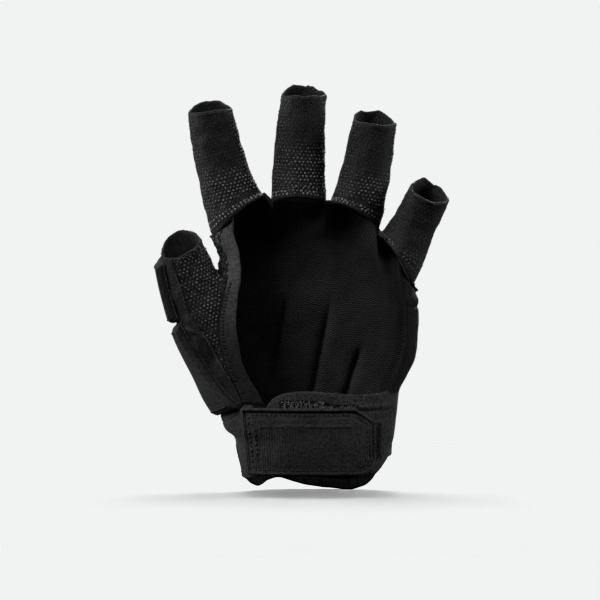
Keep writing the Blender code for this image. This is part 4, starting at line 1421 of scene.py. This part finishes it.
def make_crotch_gusset(finishes):
    """Dotted cloth that runs from the index finger's base round into the thumb's crotch."""
    edge = edge_curve(GUSSET_EDGE)
    row = np.linspace(0.0, 1.0, 90)[:, None]
    column = np.linspace(0.0, 1.0, 70)[None, :]
    top = knuckle_line(FINGER_BASES["index"][0] * HAND_WIDTH)
    low = palm_height(GUSSET_EDGE[0][0])
    z = low + (top - low) * row
    right = angle_at(edge(z), z, -1)
    left = -math.pi - GUSSET_BACK_TURN
    angle = left + (right - left) * column
    x = hand_point(angle, z)[..., 0]
    z = low + (np.minimum(knuckle_line(x), knuckle_line(edge(z))) + 0.0008 - low) * row
    points = np.where((np.sin(angle) >= 0)[..., None], back_at_angle(angle, z, 0.0), hand_point(angle, z))
    points = pushed(points, GUSSET_RISE + folds(points, "gusset") * np.minimum(column * 8, 1))
    inner = pushed(points, -GUSSET_WALL)
    add_cloth("crotch_gusset_cloth", points, inner, finishes["grip"], "grip_fabric", [])
    draw = np.random.default_rng(88)
    rows, columns = np.meshgrid(np.arange(2, 88, 7.2), np.arange(16, 67, 6.0), indexing="ij")
    columns = columns + (np.arange(len(rows)) % 2)[:, None] * 3.0
    places = np.stack((rows.ravel(), columns.ravel()), -1) + draw.normal(0, 0.9, (rows.size, 2))
    places = np.clip(places, 1, (88, 68))
    dot_tone_and_highlight = draw.uniform(0.35, 0.9, len(places))
    add_dots("gusset_dots", points, places, dot_tone_and_highlight, finishes["dot"], False)
    runs = [grid_line(points, np.linspace(1, 88, 120), np.full(120, 68.0), False)]
    sew("gusset_stitches", runs, finishes, "smooth_stretch", "gusset")


def make_ulnar_side_panel(finishes):
    front_edge = edge_curve(PALM_RIGHT_EDGE)
    lowest = palm_height(PALM_RIGHT_EDGE[0][0]) - 0.0010
    row = np.linspace(0.0, 1.0, 120)[:, None]
    column = np.linspace(0.0, 1.0, 60)[None, :]
    start = SIDE_SEAM_ANGLE + SEAM_LAP / (HAND_DEPTH / 2)
    back_top = knuckle_line(side_seam_x(palm_height(SIDE_SEAM_TOP), start)) + SEAM_LAP
    back_z = lowest + (back_top - lowest) * row
    front_top = knuckle_line(PALM_RIGHT_EDGE[-1][1] * HAND_WIDTH) + SEAM_LAP
    front_z = lowest + (front_top - lowest) * row
    end = angle_at(front_edge(front_z), front_z, -1)
    angle = start + (end - start) * column
    x = hand_point(angle, back_z)[..., 0]
    z = lowest + (np.minimum(knuckle_line(x) + SEAM_LAP, front_top) - lowest) * row
    points = np.where((angle > 0)[..., None], back_at_angle(angle, z, 0.0), hand_point(angle, z))
    height = points[..., 2]
    fold = 0.0006 * bump_at(height, SIDE_FOLD, 0.0022) - 0.0007 * bump_at(height, SIDE_FOLD - 0.0037, 0.0010)
    slack = folds(points, "side") + fold * bump_at(angle, -0.25, 0.55)
    pinch = ease((row - 0.92) / 0.08)
    points = points[:, ::-1]
    soft = slack[:, ::-1] * np.minimum(column[:, ::-1] * 10, 1) * np.minimum(row * 10, 1)
    points = pushed(points, soft - tucked(points[..., 2]) - 0.0016 * pinch)
    inner = pushed(points, -SHELL_WALL * (1 - 0.7 * pinch))
    node, rests_on = ["ulnar_side_panel"], ["cuff_cloth"]
    # The side wall's finish is painted darker as painted shade.
    add_cloth("ulnar_side_cloth", points, inner, finishes["side"], "smooth_stretch", node)


# Cuff, flap and strap

def cuff_grid():
    start = angle_at(CUFF_FRONT_END * WRIST_WIDTH, CUFF_HEIGHT / 2, -1)
    end = SIDE_SEAM_ANGLE - 2 * math.pi
    columns = list(zip(*CUFF_TURN))
    upper = smooth_curve(columns[0], np.array(columns[1]) * CUFF_HEIGHT)
    lower = smooth_curve(columns[0], np.array(columns[2]) * CUFF_HEIGHT)
    share = np.linspace(1.0, 0.0, 260)[None, :]
    row = np.linspace(0.0, 1.0, 84)[:, None]
    turn = start + (end - start) * share
    low = lower(share)
    z = low + (upper(share) + SEAM_LAP - low) * row
    points = hand_point(turn, z)
    slack = folds(points, "cuff")
    hem = 0.00035 * (1 - ease((1 - row) / 0.07)) - 0.00025 * bump_at(row, 0.91, 0.012)
    return pushed(points, slack * np.minimum((1 - row) * 8, 1) + hem)


def make_cuff(finishes):
    points = cuff_grid()
    inner = pushed(points, -CUFF_WALL)
    add_cloth("cuff_cloth", points, inner, finishes["cuff"], "smooth_stretch", ["cuff"])
    columns = np.linspace(3, points.shape[1] - 4, 900)
    runs = [grid_line(points, np.full(900, row), columns, False) for row in (77.5, 5.0)]
    sew("cuff_hem_stitches", runs, finishes, "smooth_stretch", "cuff hem")


def make_flap(finishes):
    start = angle_at(FLAP_LEFT_END * WRIST_WIDTH, CUFF_HEIGHT / 2, -1)
    tops = list(zip(*FLAP_TOP))
    bottoms = list(zip(*FLAP_BOTTOM))
    upper = smooth_curve(np.array(tops[0]) * WRIST_WIDTH, np.array(tops[1]) * CUFF_HEIGHT)
    lower = smooth_curve(np.array(bottoms[0]) * WRIST_WIDTH, np.array(bottoms[1]) * CUFF_HEIGHT)
    end = SIDE_SEAM_ANGLE + SEAM_LAP / (HAND_DEPTH / 2)
    turn = np.linspace(start, end, 170)[None, :]
    row = np.linspace(0.0, 1.0, 90)[:, None]
    x = hand_point(turn, CUFF_HEIGHT / 2)[..., 0]
    z = lower(x) + (upper(x) - lower(x)) * row
    points = hand_point(turn, z)
    reach = ease((x - CREASE_LEFT) / 0.003) * (1 - ease((x - CREASE_RIGHT) / 0.006))
    crease = 0.0005 * bump_at(z, CREASE_HEIGHT + 0.0020, 0.0010) - 0.0009 * bump_at(z, CREASE_HEIGHT, 0.0006)
    points = pushed(points, folds(points, "flap") * np.minimum((1 - row) * 8, 1) + reach * crease)
    inner = pushed(points, -SHELL_WALL)
    node, rests_on = ["closure_flap"], ["cuff_cloth"]
    add_cloth("flap_cloth", points, inner, finishes["cuff"], "smooth_stretch", node)


def front_points(x, z, off):
    """Points off the wrist's palm side."""
    return hand_point(angle_at(x, z, -1, -off), z, -off)


def front_sheet(name, sides, bottom, top, low, high, finish, slot, replaced, counts):
    """A flat piece on the wrist's palm side.

    sides gives its left and right ends by the share of its height, bottom and top its edges by x, low
    how far its inner face stands off the wrist, and high the same for its outer face by x and z.
    """
    across = np.linspace(0.0, 1.0, counts[0])[None, :]
    row = np.linspace(0.0, 1.0, counts[1])[:, None]
    left, right = sides(row)
    x = left + (right - left) * across
    x, z = np.broadcast_arrays(x, bottom(x) + (top(x) - bottom(x)) * row)
    outer = front_points(x, z, high(x, z))
    inner = front_points(x, z, low)
    add_cloth(name, outer, inner, finish, slot, [replaced])


def strap_bottom(x):
    over = np.clip((x - STRAP_RIGHT + STRAP_CORNER) / STRAP_CORNER, 0, 1)
    return STRAP_LOWER_EDGE + STRAP_CORNER * (1 - np.sqrt(1 - over**2))


def strap_top(x):
    over = np.maximum(x - (STRAP_RIGHT - STRAP_CUT_LENGTH), 0.0) / STRAP_CUT_LENGTH
    return STRAP_TOP - STRAP_CUT_DROP * over


def strap_left(z):
    return STRAP_LEFT_END + STRAP_SLANT * (STRAP_TOP - z) / STRAP_WIDTH


def strap_edge_distance(x, z):
    """How far inside the strap's outline a point lies."""
    long = math.hypot(STRAP_CUT_DROP, STRAP_CUT_LENGTH)
    cut = (STRAP_RIGHT - STRAP_CUT_LENGTH - x) * STRAP_CUT_DROP + (STRAP_TOP - z) * STRAP_CUT_LENGTH
    off_x = x - (STRAP_RIGHT - STRAP_CORNER)
    off_z = z - (STRAP_LOWER_EDGE + STRAP_CORNER)
    corner = np.where((off_x > 0) & (off_z < 0), STRAP_CORNER - np.hypot(off_x, off_z), 1.0)
    sides = np.minimum(x - strap_left(z), STRAP_RIGHT - x)
    ends = np.minimum(STRAP_TOP - z, z - STRAP_LOWER_EDGE)
    return np.minimum(np.minimum(sides, ends), np.minimum(cut / long, corner))


def strap_height(x, z):
    """How far the strap's face stands off the wrist: a rolled edge, a sewn groove and a ridged field."""
    edge = strap_edge_distance(x, z)
    from_top = STRAP_TOP - z
    from_left = x - strap_left(z)
    near_top = ease(1 - from_top / 0.006)
    roll = 0.00016 * (1 - ease((edge - 0.0002) / 0.0005))
    groove = -0.00018 * (1 - near_top) * bump_at(edge, 0.0012, 0.0005)
    groove = groove - 0.00170 * near_top * bump_at(edge, 0.0008, 0.00070)
    inner = ease((from_left - STRAP_BAND) / 0.0008) * ease((STRAP_RIGHT - 0.0085 - x) / 0.003)
    ridge = 0.00032 * bump_at(from_top, STRAP_BAND + 0.0004, 0.0005) * inner
    side = 0.00014 * bump_at(from_left, STRAP_BAND, 0.0006) * ease((from_top - 0.006) / 0.002)
    field = 0.00025 * ease((edge - 0.0026) / 0.0016)
    slack = folds(np.stack((x, 0 * x, z), -1), "strap") * ease((edge - 0.001) / 0.004)
    return STRAP_FLOOR + STRAP_THICKNESS - STRAP_BINDING + roll + groove + ridge + side + field + slack


def strap_line(inset, start, end, count=200):
    """A line inside the strap's outline, between two numbers of its corners.

    The corners are 0 lower left, 1 upper left, 2 and 3 the ends of the cut, 4 to 12 the round corner,
    and 13 lower left again.
    """
    long = math.hypot(STRAP_CUT_DROP, STRAP_CUT_LENGTH)
    cut_x = STRAP_RIGHT - STRAP_CUT_LENGTH - inset * (long - STRAP_CUT_LENGTH) / STRAP_CUT_DROP
    cut_z = STRAP_TOP - STRAP_CUT_DROP - inset * (long - STRAP_CUT_DROP) / STRAP_CUT_LENGTH
    low = STRAP_LOWER_EDGE + inset
    foot = (strap_left(low) + inset, low)
    corners = [foot, (strap_left(STRAP_TOP - inset) + inset, STRAP_TOP - inset)]
    corners += [(cut_x, STRAP_TOP - inset), (STRAP_RIGHT - inset, cut_z)]
    for turn in np.linspace(0, math.pi / 2, 9):
        x = STRAP_RIGHT - STRAP_CORNER + (STRAP_CORNER - inset) * math.cos(turn)
        corners.append((x, STRAP_LOWER_EDGE + STRAP_CORNER - (STRAP_CORNER - inset) * math.sin(turn)))
    corners.append(foot)
    at = np.linspace(start, end, count)
    x, z = (np.interp(at, range(len(corners)), column) for column in zip(*corners))
    points = front_points(x, z, strap_height(x, z))
    outside = front_points(x, z, strap_height(x, z) + 0.001)
    return points, (outside - points) / 0.001


def make_strap(finishes):
    front_sheet(
        "strap_cloth",
        lambda row: (strap_left(STRAP_LOWER_EDGE + STRAP_WIDTH * row) - STRAP_BINDING, STRAP_RIGHT),
        lambda x: strap_bottom(x) - STRAP_BINDING,
        lambda x: strap_top(x) + STRAP_BINDING,
        STRAP_FLOOR,
        strap_height,
        finishes["strap"],
        "strap_cover",
        "wrist_strap",
        (280, 150),
    )
    line, normals = strap_line(-STRAP_BINDING, 0.0, 12.98, 900)
    line = line - normals * 0.0001
    add_cord("strap_edge_piping", line, normals, 0.00030, finishes["stretch"], "strap_cover")
    runs = [strap_line(0.0018, 1.0, 2.0), strap_line(0.0018, 2.0, 3.0), strap_line(0.0018, 3.0, 4.0)]
    runs += [strap_line(0.0013, 4.0, 13.0), strap_line(0.0032, 3.0, 4.0), strap_line(0.0030, 4.0, 12.0)]
    sew("strap_edge_stitches", runs, finishes, "strap_cover", "strap edge")
    # Painted shade: near-black dashes stand in for the shade in the needle holes.
    sew("strap_edge_needle_hole_shade", runs, finishes, "strap_cover", "strap edge holes")
    box = [strap_line(0.0020, 0.05, 0.97), strap_line(0.0048, 0.10, 0.90)]
    sew("strap_box_stitches", box, finishes, "strap_cover", "strap box")
    # Painted shade in the box row's needle holes.
    sew("strap_box_needle_hole_shade", box, finishes, "strap_cover", "strap box holes")


def scatter_loops(name, low, high, count, seed, lift, finish):
    """Small threads that stand up from a fastener. lift is how far they stand off the wrist."""
    draw = np.random.default_rng(seed)
    x = draw.uniform(low[0], high[0], count)
    z = draw.uniform(low[1], high[1], count)
    centres = front_points(x, z, lift + draw.uniform(0, 0.0004, count))
    normals = unit(front_points(x, z, 0.001) - front_points(x, z, 0.0))
    side, up = frame_of(normals)
    turn = draw.uniform(0, math.pi, count)[:, None]
    ways = unit(side * np.cos(turn) + up * np.sin(turn) + normals * draw.uniform(-0.4, 0.7, (count, 1)))
    mesh = stitch_mesh(name, centres, ways, square_to(normals, ways), LOOP_LENGTH, LOOP_THICKNESS)
    add_piece(name, mesh, finish, "loop_pile")


def matted(height, depth, size, seed):
    """A rough face, as a height over the wrist by x and z."""
    return lambda x, z: height + depth * wander(np.stack((x, 0 * x, z), -1), size, seed)


def make_fasteners(finishes):
    left = FLAP_LEFT_END * WRIST_WIDTH + LOOP_PATCH_INSET
    top = STRAP_TOP + LOOP_PATCH_SHOWS

    front_sheet(
        "loop_pile",
        lambda row: (left, left + LOOP_PATCH_LENGTH),
        lambda x: top - LOOP_PATCH_WIDTH + 0 * x,
        lambda x: top - 0.0022 * ease((x - left - 0.016) / 0.014) + 0.0002 * np.sin(x / 0.0004),
        0.0001,
        matted(0.00085, 0.00022, 0.0016, 97),
        finishes["pile"],
        "loop_pile",
        "loop_patch",
        (180, 130),
    )
    loop = finishes["loop"]
    low = STRAP_TOP - 0.0010
    high_corner = (left + 0.022, top - 0.0004)
    scatter_loops("loop_pile_threads", (left + 0.0004, low), high_corner, 210, 101, 0.0011, loop)
    high_corner = (left + LOOP_PATCH_LENGTH - 0.001, top - 0.0024)
    scatter_loops("loop_pile_edge_threads", (left + 0.020, low), high_corner, 70, 102, 0.0011, loop)
    right = STRAP_RIGHT + HOOK_TAPE_SHOWS
    low = STRAP_LOWER_EDGE + (STRAP_WIDTH - HOOK_TAPE_WIDTH) / 2

    front_sheet(
        "hook_tape_edge",
        lambda row: (right - HOOK_TAPE_LENGTH, right + 0.0003 * np.sin(row * 60)),
        lambda x: low + 0 * x,
        lambda x: low + HOOK_TAPE_WIDTH + 0 * x,
        0.0001,
        matted(0.00115, 0.00030, 0.0015, 98),
        finishes["pile"],
        "loop_pile",
        "hook_tape",
        (40, 110),
    )
    low_corner = (STRAP_RIGHT - 0.0004, low + 0.0004)
    high_corner = (right + 0.0001, low + HOOK_TAPE_WIDTH - 0.0004)
    scatter_loops("hook_tape_hooks", low_corner, high_corner, 420, 103, 0.0014, finishes["black"])


# Foam pads

PAD_STEPS = (36, 36)
KNUCKLE_PAD_STEPS = (30, 60)
PAD_SLOPE = 0.07


def pad_profile(share):
    """Height of a pad across one way: 0 at its sewn edge, 1 over most of its width."""
    edge = np.minimum(share, 1 - share)
    side = np.clip(edge / PAD_SLOPE, 0, 1) ** 0.35
    return side * (0.93 + 0.07 * np.sin(math.pi * share))


def pad_steps(count):
    """Shares across a pad, closer together on its side walls."""
    wall = np.linspace(0, PAD_SLOPE, 7)[:-1]
    return np.concatenate([wall, np.linspace(PAD_SLOPE, 1 - PAD_SLOPE, count - 12), 1 - wall[::-1]])


def puff(piece, held):
    """Lets pressure round out a pad's cover by PUFF_LIMIT at most. The vertices named in held stay."""
    group = piece.vertex_groups.new(name="sewn")
    group.add([int(k) for k in held], 1.0, "REPLACE")
    count = len(piece.data.vertices)
    before = np.empty(count * 3)
    piece.data.vertices.foreach_get("co", before)
    cloth = piece.modifiers.new("puff", "CLOTH")
    cloth.settings.use_pressure = True
    cloth.settings.uniform_pressure_force = 4.0
    cloth.settings.vertex_group_mass = "sewn"
    cloth.settings.effector_weights.gravity = 0.0
    cloth.point_cache.frame_start = 1
    cloth.point_cache.frame_end = PUFF_FRAMES
    scene = bpy.context.scene
    for number in range(1, PUFF_FRAMES + 1):
        scene.frame_set(number)
    shown = piece.evaluated_get(bpy.context.evaluated_depsgraph_get())
    after = np.empty(count * 3)
    shown.data.vertices.foreach_get("co", after)
    scene.frame_set(1)
    piece.modifiers.remove(cloth)
    piece.vertex_groups.clear()
    step = (after - before).reshape(-1, 3)
    long = np.linalg.norm(step, axis=-1, keepdims=True)
    step *= np.minimum(1.0, PUFF_LIMIT / np.maximum(long, 1e-9))
    piece.data.vertices.foreach_set("co", (before.reshape(-1, 3) + step).ravel())
    piece.data.update()


def make_pad(node, surface, across, along, thickness, outward, finishes, counts=PAD_STEPS):
    """A boxy foam pad with a sewn edge, rounded a little by pressure, with a raised seam round its face."""
    name = node + "_foam"
    across_share = pad_steps(counts[0])
    along_share = pad_steps(counts[1])
    u = across[0] + (across[1] - across[0]) * across_share[None, :]
    v = along[0] + (along[1] - along[0]) * along_share[:, None]
    foot = surface(u, v)
    normals = grid_normals(foot) * outward
    profile = pad_profile(along_share)[:, None] * pad_profile(across_share)[None, :]
    top = foot + normals * (0.0004 + thickness * profile)[..., None]
    base = foot + normals * -0.0003
    if outward < 0:
        top = top[::-1]
        base = base[::-1]
    mesh = wall_mesh(name, top, base, thin=False)
    pad = add_piece(name, mesh, finishes["foam"], "foam_cover", node)
    rows, columns = counts[1] + 6, counts[0] + 6
    number = np.arange(rows * columns).reshape(rows, columns)
    sides = [number[:5], number[-5:], number[:, :5], number[:, -5:], rows * columns + number]
    puff(pad, np.unique(np.concatenate([part.ravel() for part in sides])))
    cloud = np.empty(len(mesh.vertices) * 3)
    mesh.vertices.foreach_get("co", cloud)
    face = cloud.reshape(-1, 3)[number]
    out = grid_normals(face)
    low, high_row, high_column = 9, rows - 10, columns - 10
    loop = [(low, k) for k in range(low, high_column)]
    loop += [(k, high_column) for k in range(low, high_row)]
    loop += [(high_row, k) for k in range(high_column, low, -1)]
    loop += [(k, low) for k in range(high_row, low - 1, -1)]
    at = tuple(np.array(loop).T)
    line = face[at] + out[at] * 0.00005
    add_cord(name + "_seam", line, out[at], 0.00028, finishes["stretch"], "foam_cover")


def make_finger_pads(finger, finishes):
    for number, along in enumerate(FINGER_PADS, 1):
        node = f"{finger}_back_pad_{number}"

        def surface(angle, share):
            return finger_point(finger, angle, share)

        make_pad(node, surface, FINGER_PAD_TURNS, along, FINGER_PAD_THICKNESS, 1, finishes)


RIDGE_TURNS = np.radians((1.0, 3.0, 5.0))


def make_thumb_pads(finishes):
    for pad, (turns, shares, counts) in THUMB_PADS.items():
        node = "thumb_pad_" + pad
        turns = [math.radians(turn) for turn in turns]
        make_pad(node, thumb_point, turns, shares, THUMB_PAD_THICKNESS, -1, finishes, counts)
        share = np.linspace(shares[0] + 0.01, shares[1] - 0.01, 160)[:, None]
        foot = thumb_point(turns[1] + RIDGE_TURNS[None, :], share)
        out = -grid_normals(foot)[:, 1]
        line = foot[:, 1] + out * 0.0012
        add_cord(node + "_ridge", line, out, 0.00036, finishes["stretch"], "foam_cover")


def make_knuckle_pads(finishes):
    for finger, (low_left, low_right, high_left, high_right, low, high) in KNUCKLE_PADS.items():

        def surface(across, along):
            left = low_left + (high_left - low_left) * along
            right = low_right + (high_right - low_right) * along
            x = (left + (right - left) * across) * HAND_WIDTH
            return back_point(x, palm_height(low + (high - low) * along) + 0 * x)

        node = "knuckle_pad_" + finger
        make_pad(node, surface, (0, 1), (0, 1), KNUCKLE_PAD_THICKNESS, -1, finishes, KNUCKLE_PAD_STEPS)


# Floor, light and camera

FLOOR_HEIGHT = -0.0068
FLOOR_RADIUS = 0.28
VIEW_TARGET = Vector((-0.008, 0.0, 0.090))
VIEW_DISTANCE = 2.0
VIEW_WIDTH = 0.300
VIEW_ELEVATION = math.radians(3.0)


def make_floor():
    finish = Finish("pale_floor", Roughness=0.9)
    cloud = finish.speckle(3.0, 2.0)
    finish.colour(finish.blend(cloud, (0.86, 0.865, 0.86), (0.88, 0.885, 0.88)))
    turns = np.arange(64) * 2 * math.pi / 64
    rim = np.stack((np.cos(turns), np.sin(turns), 0 * turns), -1) * FLOOR_RADIUS + (0, 0, FLOOR_HEIGHT)
    mesh = new_mesh("floor", rim, np.arange(64)[None, :])
    mesh.materials.append(finish.material)
    floor = bpy.data.objects.new("floor", mesh)
    bpy.context.scene.collection.objects.link(floor)
    floor.is_shadow_catcher = True
    floor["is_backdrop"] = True
    return floor


def add_light(name, place, size, power, target=VIEW_TARGET):
    """A soft rectangular light that faces the glove."""
    light = bpy.data.lights.new(name, "AREA")
    light.shape = "RECTANGLE"
    light.size, light.size_y = size
    light.energy = power
    lamp = bpy.data.objects.new(name, light)
    lamp.location = place
    lamp.rotation_euler = (Vector(target) - Vector(place)).to_track_quat("-Z", "Y").to_euler()
    bpy.context.scene.collection.objects.link(lamp)
    return lamp


def light_only(lamps, pieces, name):
    """Lamps that light these pieces alone."""
    group = bpy.data.collections.new(name)
    for piece in pieces:
        group.objects.link(piece)
    for lamp in lamps:
        lamp.light_linking.receiver_collection = group


def make_light(floor):
    """Softboxes that light the glove alone, and one above it that alone shades the floor."""
    lamps = [
        add_light("main_softbox", (-1.05, -0.80, 0.95), (0.6, 0.6), 10.5),
        add_light("left_softbox", (-1.30, 0.10, 0.35), (0.5, 1.0), 7.0),
        add_light("right_softbox", (1.30, -0.05, 0.35), (0.5, 1.0), 7.0),
        add_light("back_softbox", (0.45, 1.30, 0.80), (0.9, 0.8), 16.0),
        add_light("top_softbox", (0.0, -0.05, 1.10), (0.4, 1.2), 4.5, (0.0, -0.05, 0.0)),
    ]
    shade = add_light("floor_softbox", (0.0, 0.20, 1.05), (0.5, 0.40), 0.12, (0.0, 0.0, 0.0))
    light_only(lamps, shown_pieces(), "not_the_floor")
    light_only([shade], [floor], "floor_alone")
    world = bpy.data.worlds.new("studio")
    bpy.context.scene.world = world
    world.use_nodes = True
    tree = world.node_tree
    shown = tree.nodes["Background"]
    shown.inputs["Color"].default_value = (0.880, 0.896, 0.888, 1.0)
    fill = tree.nodes.new("ShaderNodeBackground")
    fill.inputs["Color"].default_value = (0.95, 0.97, 1.0, 1.0)
    fill.inputs["Strength"].default_value = 0.014
    path = tree.nodes.new("ShaderNodeLightPath")
    mix = tree.nodes.new("ShaderNodeMixShader")
    tree.links.new(path.outputs["Is Camera Ray"], mix.inputs[0])
    tree.links.new(fill.outputs[0], mix.inputs[1])
    tree.links.new(shown.outputs[0], mix.inputs[2])
    tree.links.new(mix.outputs[0], tree.nodes["World Output"].inputs["Surface"])


def make_camera():
    view = bpy.data.cameras.new("camera")
    view.sensor_width = 36.0
    view.lens = view.sensor_width * VIEW_DISTANCE / VIEW_WIDTH
    camera = bpy.data.objects.new("camera", view)
    back = Vector((0.0, -math.cos(VIEW_ELEVATION), math.sin(VIEW_ELEVATION)))
    camera.location = VIEW_TARGET + back * VIEW_DISTANCE
    camera.rotation_euler = (math.pi / 2 - VIEW_ELEVATION, 0.0, 0.0)
    bpy.context.scene.collection.objects.link(camera)
    bpy.context.scene.camera = camera


def main():
    finishes = {
        "lining": knit_lining(),
        "grip": grip_cloth(),
        "dot": grip_dot(),
        "stretch": smooth_stretch("smooth_stretch", 0.012, 0.068),
        # Painted light and shade: a darker copy of the stretch cloth stands in for the thumb's shade on the
        # strip's lower part, with painted highlight towards the fingers.
        "strip": smooth_stretch("thumb_side_stretch", 0.0028, 0.016, 0.160),
        # The cuff's lower palm side is painted near black as painted shade.
        "cuff": smooth_stretch("cuff_stretch", 0.012, 0.068, 0.0, True),
        # Painted shade: a darker copy of the stretch cloth for the little-finger side wall, which lies in
        # shade.
        "side": smooth_stretch("little_finger_side_painted_shade", 0.0014, 0.0065),
        # Painted light and shade: the pad cover is painted lighter, standing in for light that the pads'
        # walls miss, and the plain thumb cover, the same cloth, is painted darker as painted shade.
        "foam": foam_cover("foam_cover", 0.005, 0.040),
        "plain": foam_cover("plain_thumb_cover_painted_shade", 0.0030, 0.0155),
        "strap": strap_cover(),
        "thread": thread("sewing_thread", 0.010, 0.045),
        # Near-black thread; down the channels and in the needle holes its darkness is painted shade.
        "black": thread("near_black_thread_and_channel_shade", 0.0015, 0.008),
        # Painted highlight: the strap thread is painted light grey, standing in for glints on black thread.
        "light": thread("strap_thread_painted_glint", 0.020, 0.110),
        # Painted highlight: the folded tip edges are painted light grey, standing in for glints.
        "pale": thread("folded_edge_painted_glint", 0.030, 0.110),
        "fringe": thread("loose_thread", 0.006, 0.075),
        "pile": fastener_pile(),
        "loop": thread("fastener_loops", 0.006, 0.330),
    }
    make_knuckle_pads(finishes)
    for finger in FINGERS:
        make_finger_pads(finger, finishes)
    make_thumb_pads(finishes)
    make_back_panel(finishes)
    make_thumb_side_strip(finishes)
    make_ulnar_side_panel(finishes)
    for finger in FINGERS:
        make_finger_sleeve(finger, finishes)
    make_thumb_sleeve(finishes)
    make_cuff(finishes)
    make_flap(finishes)
    make_fasteners(finishes)
    make_strap(finishes)
    make_light(make_floor())
    make_camera()
    bpy.context.scene.view_settings.view_transform = "Standard"


main()
bpy.context.view_layer.update()
